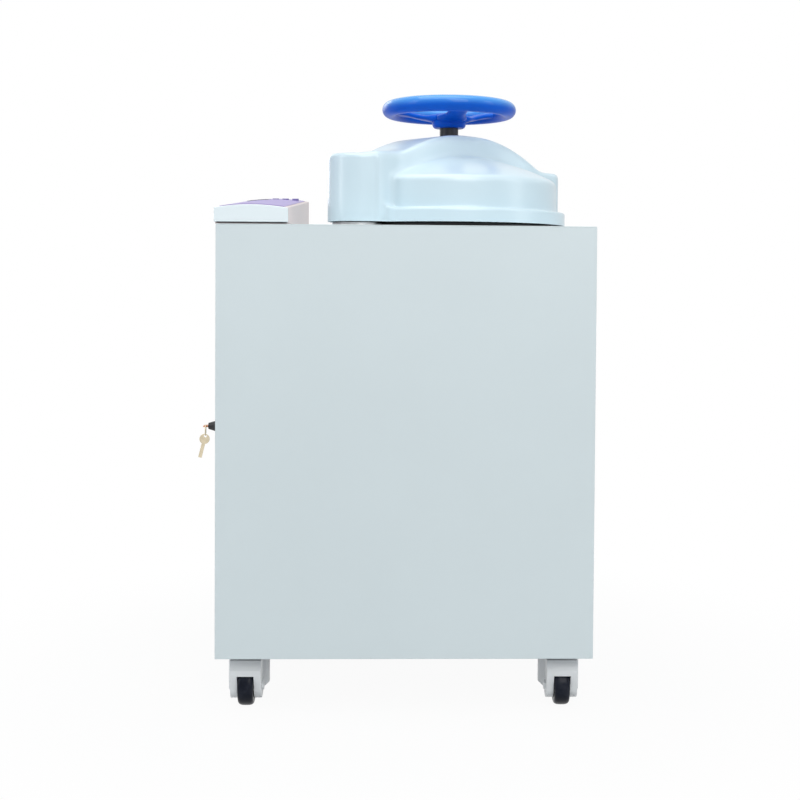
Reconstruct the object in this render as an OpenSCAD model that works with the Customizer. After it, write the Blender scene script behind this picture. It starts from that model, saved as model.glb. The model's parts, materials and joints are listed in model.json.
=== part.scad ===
// Vertical steam autoclave with a swing-aside handwheel lid.
// The floor is z = 0, the origin is under the middle of the cabinet,
// the photographed front faces -Y and the console stands at -X.

/* [Cabinet] */
// Depth of the cabinet, front to back
body_d = 480; // [475:5:540]
// Width of the service compartment, from the left side to the insulation
service_w = 170.5; // [168:0.5:200]
// Height of the cabinet's underside above the floor
ground_gap = 88; // [87:1:96]
// Thickness of the cabinet sheet
sheet_t = 1.5; // [1.2:0.1:2]
// Depth of the folds at the edges of the panels
fold_w = 18; // [14:1:22]
// Seam left between the door and its neighbours
seam_gap = 2; // [1:0.5:3]
// Corner radius of the deck
deck_corner_r = 3; // [1:0.5:5]
// Length of one ventilation louvre
louvre_l = 90; // [60:5:120]
// Height of one ventilation louvre
louvre_h = 5; // [4:0.5:7]
// Number of louvres in a group
louvre_n = 7; // [4:1:9]

/* [Chassis] */
// Height of the chassis rim and of its cross beams
beam_h = 30; // [24:1:34]
// Width of one cross beam
beam_w = 30; // [24:1:40]
// Width of a corner post's legs
post_w = 25; // [20:1:30]
// Thickness of the chassis sections
post_t = 3; // [2:0.5:4]

/* [Chamber] */
// Inside radius of the chamber
chamber_r = 160; // [150:1:175]
// Depth of the chamber's straight wall
chamber_deep = 560; // [500:5:640]
// Height of the chamber's straight wall above the chassis floor
chamber_lift = 114.5; // [110:0.5:130]
// Wall of the chamber
chamber_t = 2.5; // [2:0.5:3]
// Depth of the dished bottom
dish_h = 40; // [34:1:44]
// Width of the chamber flange, outward from the chamber wall
flange_w = 21.5; // [20.5:0.5:23]
// Height of the chamber flange
flange_h = 16; // [12:1:20]
// Thickness of the lid seal
gasket_h = 7.5; // [6:0.5:8]
// Width of the lid seal
gasket_w = 19; // [15:0.5:20]
// Thickness of the insulation round the chamber
insulation_t = 34; // [25:1:36]

/* [Pressure lid] */
// Distance of the pressure lid's edge inside the flange's edge
plate_inset = 5; // [4.5:0.5:7]
// Thickness of the pressure lid's rim
plate_rim_h = 14; // [12:1:15]
// Rise of the pressure lid's dome
plate_dome_h = 28; // [22:1:30]
// Thickness of the pressure lid's dome
plate_dome_t = 8; // [6:1:9]
// Travel of the pressure lid on its screw
lid_travel = 12; // [8:1:12]

/* [Lid cover] */
// Distance of the cover's round wall outside the flange's edge
cover_over = 1; // [0.5:0.5:3]
// Width of the cover's lower rim, outward from the wall
cover_rim_w = 15; // [13:1:18]
// Height of the cover's lower edge above the deck
cover_low = 8; // [8:0.5:9]
// Height of the rim's upper edge above the deck
cover_rim_h = 30; // [27:1:33]
// Height of the round wall's shoulder above the deck
cover_wall_h = 81; // [76:1:86]
// Rise of the shallow dome over the wall
cover_dome_h = 46; // [40:1:50]
// Wall of the moulded cover
cover_t = 3; // [2.5:0.5:3]
// Direction of the lid beam, counter-clockwise from the right
beam_angle = 42; // [38:1:46]
// Distance of the pivot's middle outside the cover's round wall
pivot_reach = 17.5; // [16.5:0.5:21]
// Height of the beam fairing over the middle of the lid
crest_top = 159; // [156:1:166]
// Height of the fairing where it meets the pivot boss
crest_boss = 110; // [106:1:113]
// Height of the fairing at its far end
crest_far = 96; // [92:1:102]
// Half the width of the beam fairing
fairing_half = 60; // [58:1:64]
// Radius of the pivot boss
boss_r = 50; // [48:0.5:54]
// Height of the pivot boss above the deck
boss_top = 117; // [115:1:124]

/* [Lid beam] */
// Thickness of each cheek of the beam
cheek_t = 10; // [8:1:11]
// Half the gap between the two cheeks
cheek_gap_half = 38; // [36:1:40]
// Height of the cheeks' lower edge above the deck
cheek_low = 70; // [68:1:74]
// Radius of the pivot post
pivot_r = 17; // [15:0.5:17.5]
// Radius of the hub that turns on the pivot post
hub_r = 38; // [34:1:40]
// Distance of the catch's middle outside the cover's rim
catch_reach = 3; // [2:0.5:5]
// Radius of the catch stud
catch_r = 8; // [7:0.5:9]
// Radius of the catch head
catch_head_r = 13; // [12:0.5:14]

/* [Handwheel] */
// Radius to the middle of the handwheel rim
wheel_ring_r = 101.5; // [95:0.5:110]
// Thickness radius of the handwheel rim
wheel_tube_r = 13.5; // [12:0.5:15]
// Height of the rim's middle above the deck
wheel_z = 207; // [203:1:214]
// Radius of the handwheel hub
wheel_hub_r = 29; // [26:1:32]
// Height of the hub's lower face above the deck
wheel_hub_low = 176; // [175:1:180]
// Height of the hub
wheel_hub_h = 24; // [20:1:28]
// Number of spokes
spoke_n = 3; // [3:1:4]
// Radius of the screw spindle
spindle_r = 13; // [11:0.5:14]

/* [Console] */
// Width of the console
console_w = 114; // [108:1:118]
// Distance of the console's back from the back of the deck
console_back_gap = 17; // [14:1:24]
// Height of the console at the front
console_front_h = 25; // [23:1:30]
// Height of the console at the back
console_back_h = 60; // [50:1:70]
// Rise of the console's crowned top
console_crown = 5; // [4:0.5:7]
// Wall of the console housing
console_t = 2.5; // [2:0.5:3]
// Radius of a key
key_r = 6; // [5:0.5:7]
// Travel of a key
key_travel = 1; // [0.6:0.1:1.2]

/* [Casters] */
// Radius of a caster wheel
wheel_r = 31.5; // [30:0.5:32]
// Width of a caster wheel's tread
tread_w = 25; // [22:1:26]
// Distance from a caster's swivel to its axle
caster_trail = 35; // [33:0.5:36]
// Distance of a caster's swivel from the cabinet's side
caster_inset = 44; // [42:1:50]
// Distance of a front caster's swivel from the cabinet's front
caster_front = 90; // [88:1:110]
// Radius of a caster's hooded crown
crown_r = 33; // [32:0.5:34]
// Radius of a caster's axle
axle_r = 5; // [4:0.5:5]
// Radius of a caster's king pin
king_r = 6; // [5:0.5:7]

/* [Baskets] */
// Gap between a basket and the chamber wall
basket_gap = 10; // [8:1:14]
// Room above the upper basket, up to the deck
basket_headroom = 93.8; // [90:0.1:120]
// Thickness of the basket sheet
basket_t = 1.2; // [1:0.1:1.5]
// Radius of a basket's bail wire
bail_r = 2.5; // [2:0.1:3]

/* [Service compartment] */
// Radius of the condensate bottle
bottle_r = 58; // [50:1:58]
// Height of the condensate bottle's shoulder
bottle_h = 190; // [150:5:220]
// Height of the lock above the floor
lock_z = 447; // [380:1:500]
// Radius of the lock barrel
lock_r = 9; // [8:0.5:9.5]
// Outside radius of the drain nozzle
nozzle_r = 6.5; // [6:0.5:7.5]
// Bore radius of the cable gland
gland_bore_r = 4.5; // [3.5:0.5:5]

/* [Hidden] */
$fn = 64;

// Overrun of every cut past the face it opens
cut = 1;
// Gap at a seat where two pieces of one body meet
seat = 0.1;
// Gap between faces that slide past each other
slip = 0.3;
// Radial clearance of a shaft in its bore
run = 0.05;

// Cabinet
jacket_room = 3.7;
jacket_r = chamber_r + chamber_t + insulation_t;
side_gap = sheet_t + fold_w + slip + post_t + jacket_room;
body_w = service_w + 2 * jacket_r + side_gap;
body_h = sheet_t + chamber_lift + chamber_deep;
half_w = body_w / 2;
half_d = body_d / 2;
deck_z = ground_gap + body_h;
roof_z = deck_z - sheet_t;
door_y = half_d - fold_w - seam_gap;
floor_top = ground_gap + sheet_t;
louvre_pitch = 3 * louvre_h;
post_x = half_w - sheet_t - fold_w - slip;
post_y = half_d - sheet_t;
ring_low = roof_z - beam_h;
louvre_rows = 3;
rear_louvre_shares = [0.12, 0.72];
side_louvre_share = 0.1;
board_share = 0.5;
hinge_shares = [0.14, 0.82];

// Chamber
chamber_x = half_w - side_gap - jacket_r;
chamber_out = chamber_r + chamber_t;
wall_low = floor_top + chamber_lift;
flange_r = chamber_out + flange_w;
flange_bolt_inset = 6;
flange_bolt_r = 2.5;
gasket_inset = 1;
gasket_lip = 1;
gasket_groove = 2;
gasket_lip_share = 0.6;
gasket_groove_share = 0.7;
rack_lift = 32;
rack_z = wall_low + rack_lift;
rack_t = 2;
rack_gap = 3;
rack_eye_r = 12;
rack_hole_r = 8;
rack_leg_r = 4;
rack_leg_share = 0.7375;
insulation_drop = 96;
insulation_top = deck_z - insulation_drop;
skirt_lap = 14;
skirt_top = wall_low + skirt_lap;
skirt_t = 3;
heater_r = 5;
heater_share = 0.675;
heater_ring = chamber_r * heater_share;
heater_lift = 10;
heater_z = wall_low + heater_lift;
heater_gap = 34;
heater_leg = sqrt(pow(heater_ring, 2) - pow(heater_gap / 2, 2));
probe_r = 4;
probe_share = 0.375;
probe_place = chamber_r * probe_share;
port_drop = 56;
port_z = deck_z - port_drop;
pipe_t = 2;

// Baskets
basket_low = rack_z + rack_t;
basket_r = chamber_r - basket_gap;
basket_h = (deck_z - basket_headroom - basket_low) / 2 - seat;
basket_pitch = basket_h + seat;
rim_wire = 4;
bail_rise = 74;
bail_drop = 10;
bail_pin_z = basket_h - bail_drop;
slot_n = 8;
slot_rows = 4;
slot_w = 7;
slot_low_share = 0.08;
slot_high_share = 0.16;
slot_pitch_share = 0.21;

// Lid, measured from the deck
plate_r = flange_r - plate_inset;
plate_low = gasket_h + seat + slip;
plate_top = plate_low + plate_rim_h;
plate_land = 8;
plate_round = 2;
plate_dome_r = plate_r - gasket_w - plate_land;
plate_apex = plate_top + plate_dome_h;
thrust_boss_r = 24;
thrust_boss_h = 14;
thrust_boss_top = plate_apex + thrust_boss_h;
thrust_pocket_r = 17.2;
thrust_floor = 4;
thrust_pocket_z = plate_apex + thrust_floor;
collar_h = 4.7;
ring_h = thrust_boss_top - thrust_pocket_z - collar_h - 2 * slip;
cover_wall_r = flange_r + cover_over;
cover_rim_r = cover_wall_r + cover_rim_w;
arm_len = cover_wall_r + pivot_reach;
catch_t = cover_rim_r + catch_reach;
rim_round = 4;
rim_slope = 1;
rim_fillet = 6;
rim_fillet_shares = [[0.67, 0.17], [0.17, 0.5], [0, 1]];
boss_round = 5;
round_share = 0.3;
rod_r = 7;
rod_place = 70;
rod_top = 122;
rod_block = 26;
rod_root_share = 0.7;
block_gap = 8;
block_low = thrust_boss_top + lid_travel + block_gap;
block_top = 138;
nut_r = 21;
nut_flange_r = 27;
nut_flange_h = 6;
nut_lip = 4;
hub_gap = 4;
hub_low = plate_top + lid_travel + hub_gap;
hub_drop = 10;
hub_top = boss_top - cover_t - hub_drop;
hub_tail = 20;
collar_top_h = 5;
collar_over = 5;
post_step = 2;
post_foot_over = 3;
post_bolts = [75, 130, 185];
post_bolt_r = 5;
post_bolt_h = 4;
foot_gap = 1;
foot_top = cover_low - foot_gap;
crest_run = 8;
crest_over = 2;
crest_len_boss = arm_len + crest_run;
crest_len_far = catch_t + crest_over;
crest_power = 1.35;
beam_clear = 5;
catch_gap = 2;
catch_head_h = 8;
catch_bevel = 3;
catch_window_w = 40;
catch_window_h = 18;
nose_room = 6;
nose_end = catch_t + catch_head_r + nose_room;
nose_corner_r = 30;
nose_half = 52;
nose_mid = nose_end - nose_corner_r;
nose_taper_share = 0.7;
end_wall_t = plate_r + catch_gap;
end_wall_w = 5;
pillar_inset = 85;
pillar_t = cover_wall_r - pillar_inset;
pillar_r = 4;
foot_low = 12;
foot_h = 18;
foot_half = 30;
foot_room = 3;
foot_end = nose_end - cover_t - foot_room;
dome_ball = (pow(cover_wall_r, 2) + pow(cover_dome_h, 2)) / (2 * cover_dome_h);
cover_apex = cover_wall_h + cover_dome_h;
shoulder_r = 11;
web_r = 25;
web_reach = cover_wall_r + web_r;
web_t = -(pow(web_reach, 2) + pow(arm_len, 2) - pow(boss_r + web_r, 2)) / (2 * arm_len);
web_y = sqrt(pow(web_reach, 2) - pow(web_t, 2));

// Handwheel
sleeve_r = 16;
sleeve_gap = 2;
spindle_step = 3;
hub_cap = 4;
spindle_top = wheel_hub_low + wheel_hub_h - hub_cap;
first_spoke = -78;
spoke_t = 9;
spoke_root_half = 24;
spoke_waist_half = 17;
spoke_tip_half = 25;
spoke_root_share = 0.7;
spoke_waist_share = 0.62;
spoke_drop_share = 0.9;
spoke_flat_share = 0.4;
spoke_tip_share = 0.25;
spoke_sink_share = 0.3;

// Console
console_overhang = 3;
console_inset = 1;
console_l = body_d - console_inset - console_back_gap;
console_x = -half_w - console_overhang + console_w / 2;
console_y = -half_d + console_inset;
console_lift = 3;
console_foot_inset = 1.5;
console_foot_w = 6;
crown_ball = (pow(console_w / 2, 2) + pow(console_crown, 2)) / (2 * console_crown);
console_slope = atan((console_back_h - console_front_h) / console_l);
cap_l = 7;
cap_lap = 3;
membrane_t = 0.8;
membrane_edge = 7;
key_back = 70;
key_y = console_l - key_back;
key_spread_share = 0.158;
key_place_share = 0.17;
key_flange = 1.5;
key_proud = 0.6;
display_w = console_w / 3;
display_l = 46;
display_share = 0.237;
display_x = -console_w * display_share;
display_back = 90;
display_y = console_l - display_back;

// Casters
plate_w = 80;
plate_l = 74;
caster_plate_t = 3;
race_r = 24;
race_h = 9;
crown_top = ground_gap - caster_plate_t - race_h - slip;
crown_t = 7;
crown_wall = 3;
cup_low = 19;
cup_bevel = 8;
caster_x = half_w - caster_inset;
caster_y = half_d - caster_front;
fork_half = 24.5;
fork_t = 3;
fork_arm_r = 20;
fork_back_share = 0.3;
hood_reach = 28;
hood_low = 54;
wheel_room = 0.8;
wheel_gap = 2.5;
window_half = tread_w / 2 + wheel_room;
hub_boss_r = 9;
hub_lip = 4;
hub_face = 5;
tread_round = 3;
tread_crown = 0.8;
tread_root_share = 0.7;
tread_face_share = 0.62;
axle_nut_r = 8;
axle_nut_t = 3;
king_head_h = 5;
king_head_over = 4;
bolt_x = 30;
bolt_y = 26;
bolt_r = 4;
bolt_head_h = 5;

// Service compartment
bottle_x = -post_x + post_t + slip + bottle_r;
bottle_y = -92;
bottle_foot = 6;
bottle_shoulder = 12;
bottle_bend = 4;
bottle_slope = 18;
band_depth = 2;
band_shares = [0.45, 0.47, 0.53, 0.55];
neck_r = 19;
neck_h = 8;
cap_over = 3;
cap_h = 20;
drain_drop = 26;
drain_z = wall_low - dish_h - drain_drop;
drain_r = 8;
valve_place = 90;
valve_x = -half_w + valve_place;
valve_l = 42;
nozzle_place = 51;
nozzle_x = -half_w + nozzle_place;
nozzle_low = 56;
lever_t = 3;
lever_nut_h = 4;
lock_place_y = 20;
lock_y = -door_y + lock_place_y;
hinge_out = 4.3;
hinge_x = -half_w - hinge_out;
hinge_y = door_y + seam_gap / 2;
hinge_r = 4;
hinge_pin_r = 2;
hinge_h = 60;
hinge_leaf = 20;
exhaust_y = -40;
valve_block = 30;
exhaust_stub = 6;
exhaust_x = bottle_x + drain_r + exhaust_stub + valve_block;
safety_reach = 37.5;
safety_x = chamber_x - chamber_out - safety_reach;
safety_y = 62;
safety_stem_top = 28.8;
safety_pivot = 7;
safety_lever_half = 3.2;
safety_lever_l = 34;
safety_lever_t = 2.4;
safety_ear_t = 2;
safety_eye_r = 3.2;
safety_eye_z = safety_stem_top + slip + safety_lever_t / 2;
safety_pin_r = 1.5;
lock_nose = 15.5;
lock_nose_r = 5;
lock_rim = 2;
lock_rim_over = 3;
lock_rim_bevel = 1;
lock_nut_h = 4;
lock_nut_over = 4;
key_t = 2.2;
key_reach = 23;
bow_half = 8;
bow_web = 2;
bow_hole_place = 19.4;
bow_hole_half = 2.3;
bow_hole_l = 8;
bow_hole_r = 2.2;
ring_wire = 0.9;
ring_r = 8;
ring_turn = 6;
spare_r = 8;
spare_hole = 4.8;
spare_l = 30;
spare_blade_w = 5.5;
spare_tilt = 14;
gland_r = 9;
gland_tail = 16;
gland_nose = 12;
gland_nut_h = 5;
gland_place = 95;
gland_x = half_w - gland_place;
gland_lift = 20;
gland_z = floor_top + beam_h + gland_lift;
switch_pitch = 50;
switch_x = gland_x - switch_pitch;
switch_z = gland_z;
switch_w = 22;
switch_h = 28;
switch_wall = 2;
switch_deep = 14;
switch_pocket = 10;
rocker_in = 3;
rocker_round = 1;
rocker_deep = 4;
rocker_low = 3.4;
rocker_mid = 4;
rocker_high = 6;
board_w = 150;
board_h = 110;
board_t = 1.6;
board_edge = 7;
board_post = 15.2;
board_post_r = 3;
relay = [44, 30, 36];
relay_place = [-40, 18];
supply = [58, 12, 44];
supply_place = [36, 44];
can_r = 5;
can_h = 18;
can_pitch = 14;
can_z = 96;
lock_depth = half_w - post_x + post_t;
plug_r = 3.5;
cam_l = 26;
cam_w = 12;
cam_t = 2.5;

// Height of the fairing's crest above the deck at a distance along the beam
function bell(share) = 0.5 + 0.5 * cos(180 * pow(min(1, share), crest_power));
function crest(t) = t < 0
  ? crest_boss + (crest_top - crest_boss) * bell(-t / crest_len_boss)
  : crest_far + (crest_top - crest_far) * bell(t / crest_len_far);

// Height of the cover's dome above the deck at a distance from its middle
function dome(r) = cover_apex - dome_ball + sqrt(pow(dome_ball, 2) - pow(r, 2));

// Height of the dished bottom at a distance from its middle
function dish(r, reach, deep) = wall_low - deep * sqrt(max(0, 1 - pow(r / reach, 2)));

module tube(outer, inner, h) {
  difference() {
    cylinder(r = outer, h = h);
    translate([0, 0, -cut])
      cylinder(r = inner, h = h + 2 * cut);
  }
}

module slab(x, y, z, at = [0, 0, 0]) {
  translate([at[0] - x / 2, at[1] - y / 2, at[2]])
    cube([x, y, z]);
}

module lid_place() {
  translate([chamber_x, 0, deck_z])
    rotate([0, 0, beam_angle])
      children();
}

module chamber_place(z = 0) {
  translate([chamber_x, 0, z])
    children();
}

module caster_places() {
  for (sx = [-1, 1], sy = [-1, 1])
    translate([sx * caster_x, sy * caster_y, 0])
      children();
}

// Cabinet

module floor_sheet() {
  difference() {
    slab(2 * (half_w - sheet_t - slip), 2 * post_y, sheet_t, [0, 0, ground_gap]);
    caster_places()
      for (bx = [-1, 1], by = [-1, 1])
        translate([bx * bolt_x, by * bolt_y, ground_gap - cut])
          cylinder(r = bolt_r + slip, h = sheet_t + 2 * cut);
    translate([nozzle_x, 0, ground_gap - cut])
      cylinder(r = 2 * nozzle_r, h = sheet_t + 2 * cut);
    for (row = [-louvre_rows:louvre_rows])
      slab(louvre_l, louvre_h, sheet_t + 2 * cut,
        [chamber_x, row * louvre_pitch, ground_gap - cut]);
  }
}

// One bar along each side of the chassis, between the corner posts
module bar_ring(low) {
  for (sy = [-1, 1])
    slab(2 * (post_x - post_w - seat), post_t, beam_h, [0, sy * (post_y - post_t / 2), low]);
  for (sx = [-1, 1])
    slab(post_t, 2 * (post_y - post_w - seat), beam_h, [sx * (post_x - post_t / 2), 0, low]);
}

module chassis_frame() {
  low = floor_top + seat;
  color("gainsboro") {
    floor_sheet();
    bar_ring(low);
    bar_ring(ring_low);
    for (sx = [-1, 1])
      slab(beam_w, 2 * (post_y - post_t - seat), beam_h - seat,
        [chamber_x + sx * (chamber_r - beam_w), 0, low]);
    for (sx = [-1, 1], sy = [-1, 1])
      scale([sx, sy, 1])
        translate([post_x, post_y, low])
          rotate([0, 0, 180])
            corner_post(roof_z - low);
  }
}

module corner_post(h) {
  cube([post_w, post_t, h]);
  cube([post_t, post_w, h]);
}

module wrap_panel() {
  translate([-half_w, -half_d, ground_gap])
    cube([body_w, sheet_t, roof_z - ground_gap]);
  for (sx = [-1, 1])
    translate([sx * (half_w - sheet_t / 2) - sheet_t / 2, -half_d, ground_gap])
      cube([sheet_t, fold_w, roof_z - ground_gap]);
}

module front_panel() {
  color("lightsteelblue")
    wrap_panel();
}

module louvre_group() {
  for (row = [0:louvre_n - 1])
    translate([-louvre_l / 2, -sheet_t - cut, row * louvre_pitch])
      cube([louvre_l, 2 * (sheet_t + cut), louvre_h]);
}

module rear_panel() {
  color("lightsteelblue")
    rotate([0, 0, 180])
      difference() {
        wrap_panel();
        for (sx = [-1, 1], share = rear_louvre_shares)
          translate([sx * body_w / 4, -half_d, ground_gap + body_h * share])
            louvre_group();
        translate([gland_x, -half_d - cut, gland_z])
          rotate([-90, 0, 0])
            cylinder(r = gland_r + seat, h = sheet_t + 2 * cut);
        translate([switch_x - switch_w / 2 - seat, -half_d - cut, switch_z - switch_h / 2 - seat])
          cube([switch_w + 2 * seat, sheet_t + 2 * cut, switch_h + 2 * seat]);
      }
}

// A tray with folds on all four edges, its outer face at x = half_w
module side_tray(gap) {
  lip = half_w - post_x - gap;
  low = ground_gap + seam_gap;
  high = roof_z - seam_gap;
  difference() {
    translate([half_w - lip, -door_y, low])
      cube([lip, 2 * door_y, high - low]);
    translate([half_w - lip - cut, -door_y + sheet_t, low + sheet_t])
      cube([lip + cut - sheet_t, 2 * (door_y - sheet_t), high - low - 2 * sheet_t]);
  }
}

module right_panel() {
  color("lightsteelblue")
    difference() {
      side_tray(seat);
      for (y = [-1, 1])
        translate([half_w, y * body_d / 5, ground_gap + body_h * side_louvre_share])
          rotate([0, 0, 90])
            louvre_group();
    }
}

module deck_panel() {
  lip_h = fold_w - 2 * seam_gap;
  color("aliceblue")
    difference() {
      union() {
        translate([0, 0, roof_z])
          linear_extrude(height = sheet_t)
            rounded_deck();
        for (sy = [-1, 1])
          slab(2 * (post_x - post_t - seat), sheet_t, lip_h,
            [0, sy * (post_y - post_t - seat - sheet_t / 2), roof_z - lip_h]);
      }
      chamber_place(roof_z - cut)
        cylinder(r = flange_r + slip, h = sheet_t + 2 * cut);
    }
}

module rounded_deck() {
  square([body_w - 2 * deck_corner_r, body_d], center = true);
  square([body_w, body_d - 2 * deck_corner_r], center = true);
  for (sx = [-1, 1], sy = [-1, 1])
    translate([sx * (half_w - deck_corner_r), sy * (half_d - deck_corner_r)])
      circle(r = deck_corner_r);
}

// Chamber and what it holds

function dish_points(reach, deep, n = 14) =
  [for (i = [0:n]) let (a = 90 * i / n) [reach * sin(a), wall_low - deep * cos(a)]];

module chamber() {
  inside = dish_points(chamber_r, dish_h - chamber_t);
  outside = dish_points(chamber_out, dish_h);
  color("silver")
    difference() {
      chamber_place()
        rotate_extrude()
          polygon(concat(outside,
            [[chamber_out, deck_z], [chamber_r, deck_z]],
            [for (i = [len(inside) - 1:-1:0]) inside[i]]));
      chamber_place(wall_low - 2 * dish_h) {
        cylinder(r = drain_r - pipe_t, h = 2 * dish_h);
        for (sy = [-1, 1])
          translate([-heater_leg, sy * heater_gap / 2, 0])
            cylinder(r = heater_r + slip, h = 2 * dish_h);
        translate([0, probe_place, 0])
          cylinder(r = probe_r + slip, h = 2 * dish_h);
      }
      for (y = [exhaust_y, safety_y])
        translate([safety_x, y, port_z])
          rotate([0, 90, 0])
            cylinder(r = drain_r + seat, h = chamber_x - safety_x);
    }
}

module chamber_flange() {
  color("dimgray")
    chamber_place(deck_z - flange_h + seat)
      difference() {
        tube(flange_r, chamber_out + seat, flange_h);
        for (a = [0:60:359])
          rotate([0, 0, a])
            translate([flange_r - flange_bolt_inset, 0, -cut])
              cylinder(r = flange_bolt_r, h = flange_h / 2 + cut);
      }
}

module lid_gasket() {
  outer = flange_r - gasket_inset;
  color("black")
    chamber_place(deck_z + seat)
      rotate_extrude()
        polygon([
          [outer - gasket_w, seat],
          [outer, seat],
          [outer, gasket_h - gasket_lip],
          [outer - gasket_lip, gasket_h],
          [outer - gasket_w * gasket_lip_share, gasket_h],
          [outer - gasket_w * gasket_groove_share, gasket_h - gasket_groove],
          [outer - gasket_w, gasket_h - gasket_lip]
        ]);
}

module insulation_jacket() {
  color("khaki")
    chamber_place(skirt_top + seat)
      difference() {
        cylinder(r = jacket_r, h = insulation_top - skirt_top);
        translate([0, 0, -cut])
          cylinder(r = chamber_out + slip, h = insulation_top - skirt_top + 2 * cut);
      }
}

module support_skirt() {
  low = floor_top + beam_h;
  color("gray")
    chamber_place(low)
      difference() {
        union() {
          tube(chamber_out + seat + skirt_t, chamber_out + seat, skirt_top - low);
          tube(chamber_out + 4 * skirt_t, chamber_r - 4 * skirt_t, skirt_t);
        }
        for (a = [0, 90])
          rotate([0, 0, a])
            translate([-chamber_out - 8 * skirt_t, -beam_w, 2 * skirt_t])
              cube([2 * (chamber_out + 8 * skirt_t), 2 * beam_w, wall_low - 6 * skirt_t - low]);
      }
}

module heating_element() {
  sweep = 360 - 2 * asin(heater_gap / 2 / heater_ring);
  foot = dish(heater_ring - 2 * heater_r, chamber_out, dish_h) - seat;
  color("darkgray")
    chamber_place() {
      translate([0, 0, heater_z])
        rotate([0, 0, 180 + asin(heater_gap / 2 / heater_ring)])
          rotate_extrude(angle = sweep)
            translate([heater_ring, 0])
              circle(r = heater_r, $fn = 24);
      for (sy = [-1, 1])
        translate([-heater_leg, sy * heater_gap / 2, 0]) {
          translate([0, 0, heater_z])
            sphere(r = heater_r + seat, $fn = 24);
          translate([0, 0, foot])
            cylinder(r = heater_r, h = heater_z - foot, $fn = 24);
          translate([0, 0, foot - heater_r])
            cylinder(r = 2 * heater_r, h = heater_r, $fn = 6);
        }
    }
}

module level_probe() {
  foot = dish(probe_place - 2 * probe_r, chamber_out, dish_h) - seat;
  color("silver")
    chamber_place()
      translate([0, probe_place, 0]) {
        translate([0, 0, foot])
          cylinder(r = probe_r, h = heater_z - foot);
        translate([0, 0, foot - 3 * probe_r])
          cylinder(r = 2 * probe_r, h = 3 * probe_r, $fn = 6);
      }
}

module chamber_rack() {
  reach = chamber_r - rack_gap;
  leg_place = chamber_r * rack_leg_share;
  leg_low = dish(leg_place + rack_leg_r, chamber_r, dish_h - chamber_t) + slip;
  color("lightgray")
    chamber_place() {
      difference() {
        translate([0, 0, rack_z])
          cylinder(r = reach, h = rack_t);
        translate([0, 0, rack_z - cut]) {
          cylinder(r = rack_eye_r, h = rack_t + 2 * cut);
          for (ring = [1:4], i = [0:6 * ring - 1])
            rotate([0, 0, 360 * i / (6 * ring)])
              translate([ring * reach / 5, 0, 0])
                cylinder(r = rack_hole_r, h = rack_t + 2 * cut, $fn = 24);
        }
      }
      for (a = [37.5:120:359])
        rotate([0, 0, a])
          translate([leg_place, 0, leg_low])
            cylinder(r = rack_leg_r, h = rack_z + rack_t / 2 - leg_low);
    }
}

module basket() {
  difference() {
    union() {
      tube(basket_r, basket_r - basket_t, basket_h - rim_wire);
      cylinder(r = basket_r, h = basket_t);
      translate([0, 0, basket_h - rim_wire])
        tube(basket_r + rim_wire - basket_t, basket_r - basket_t, rim_wire);
    }
    for (row = [0:slot_rows - 1], i = [0:slot_n - 1])
      rotate([0, 0, 180 * (i + 0.5) / slot_n])
        slab(2 * basket_r + 2 * cut, slot_w, basket_h * slot_high_share,
          [0, 0, basket_h * (slot_low_share + slot_pitch_share * row)]);
    for (ring = [1:3], i = [0:6 * ring - 1])
      rotate([0, 0, 360 * i / (6 * ring)])
        translate([ring * basket_r / 4, 0, -cut])
          cylinder(r = slot_w, h = basket_t + 2 * cut, $fn = 24);
    translate([0, basket_r + cut, bail_pin_z])
      rotate([90, 0, 0])
        cylinder(r = bail_r + run, h = 2 * (basket_r + cut), $fn = 32);
  }
}

module bail() {
  half = basket_r - basket_t - bail_r - seat - slip;
  bow = (pow(half, 2) + pow(bail_rise, 2)) / (2 * bail_rise);
  turn = asin(half / bow);
  color("silver")
    translate([0, 0, bail_pin_z]) {
      translate([bail_rise - bow, 0, 0])
        rotate([0, 0, -turn])
          rotate_extrude(angle = 2 * turn)
            translate([bow, 0])
              circle(r = bail_r, $fn = 24);
      for (sy = [-1, 1])
        translate([0, sy * half, 0]) {
          sphere(r = bail_r + seat, $fn = 32);
          rotate([-sy * 90, 0, 0])
            cylinder(r = bail_r, h = 2 * bail_r + basket_t + slip, $fn = 32);
        }
    }
}

module lower_basket() {
  color("silver")
    chamber_place(basket_low + seat)
      basket();
}

module lower_basket_bail() {
  chamber_place(basket_low + seat)
    bail();
}

module upper_basket() {
  color("silver")
    chamber_place(basket_low + seat + basket_pitch)
      basket();
}

module upper_basket_bail() {
  chamber_place(basket_low + seat + basket_pitch)
    bail();
}

// Pipes and valves in the service compartment

module drain_pipe() {
  top = wall_low - dish_h;
  color("sandybrown")
    difference() {
      union() {
        translate([chamber_x, 0, drain_z])
          cylinder(r = drain_r, h = top - drain_z - seat);
        translate([chamber_x, 0, drain_z])
          sphere(r = drain_r);
        translate([valve_x + valve_l / 2, 0, drain_z])
          rotate([0, 90, 0])
            cylinder(r = drain_r, h = chamber_x - valve_x - valve_l / 2);
        translate([chamber_x, 0, top - drain_r - seat])
          cylinder(r = 1.5 * drain_r, h = drain_r, $fn = 6);
      }
      translate([chamber_x, 0, drain_z])
        cylinder(r = drain_r - pipe_t, h = top - drain_z + cut);
      translate([valve_x, 0, drain_z])
        rotate([0, 90, 0])
          cylinder(r = drain_r - pipe_t, h = chamber_x - valve_x);
    }
}

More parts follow.
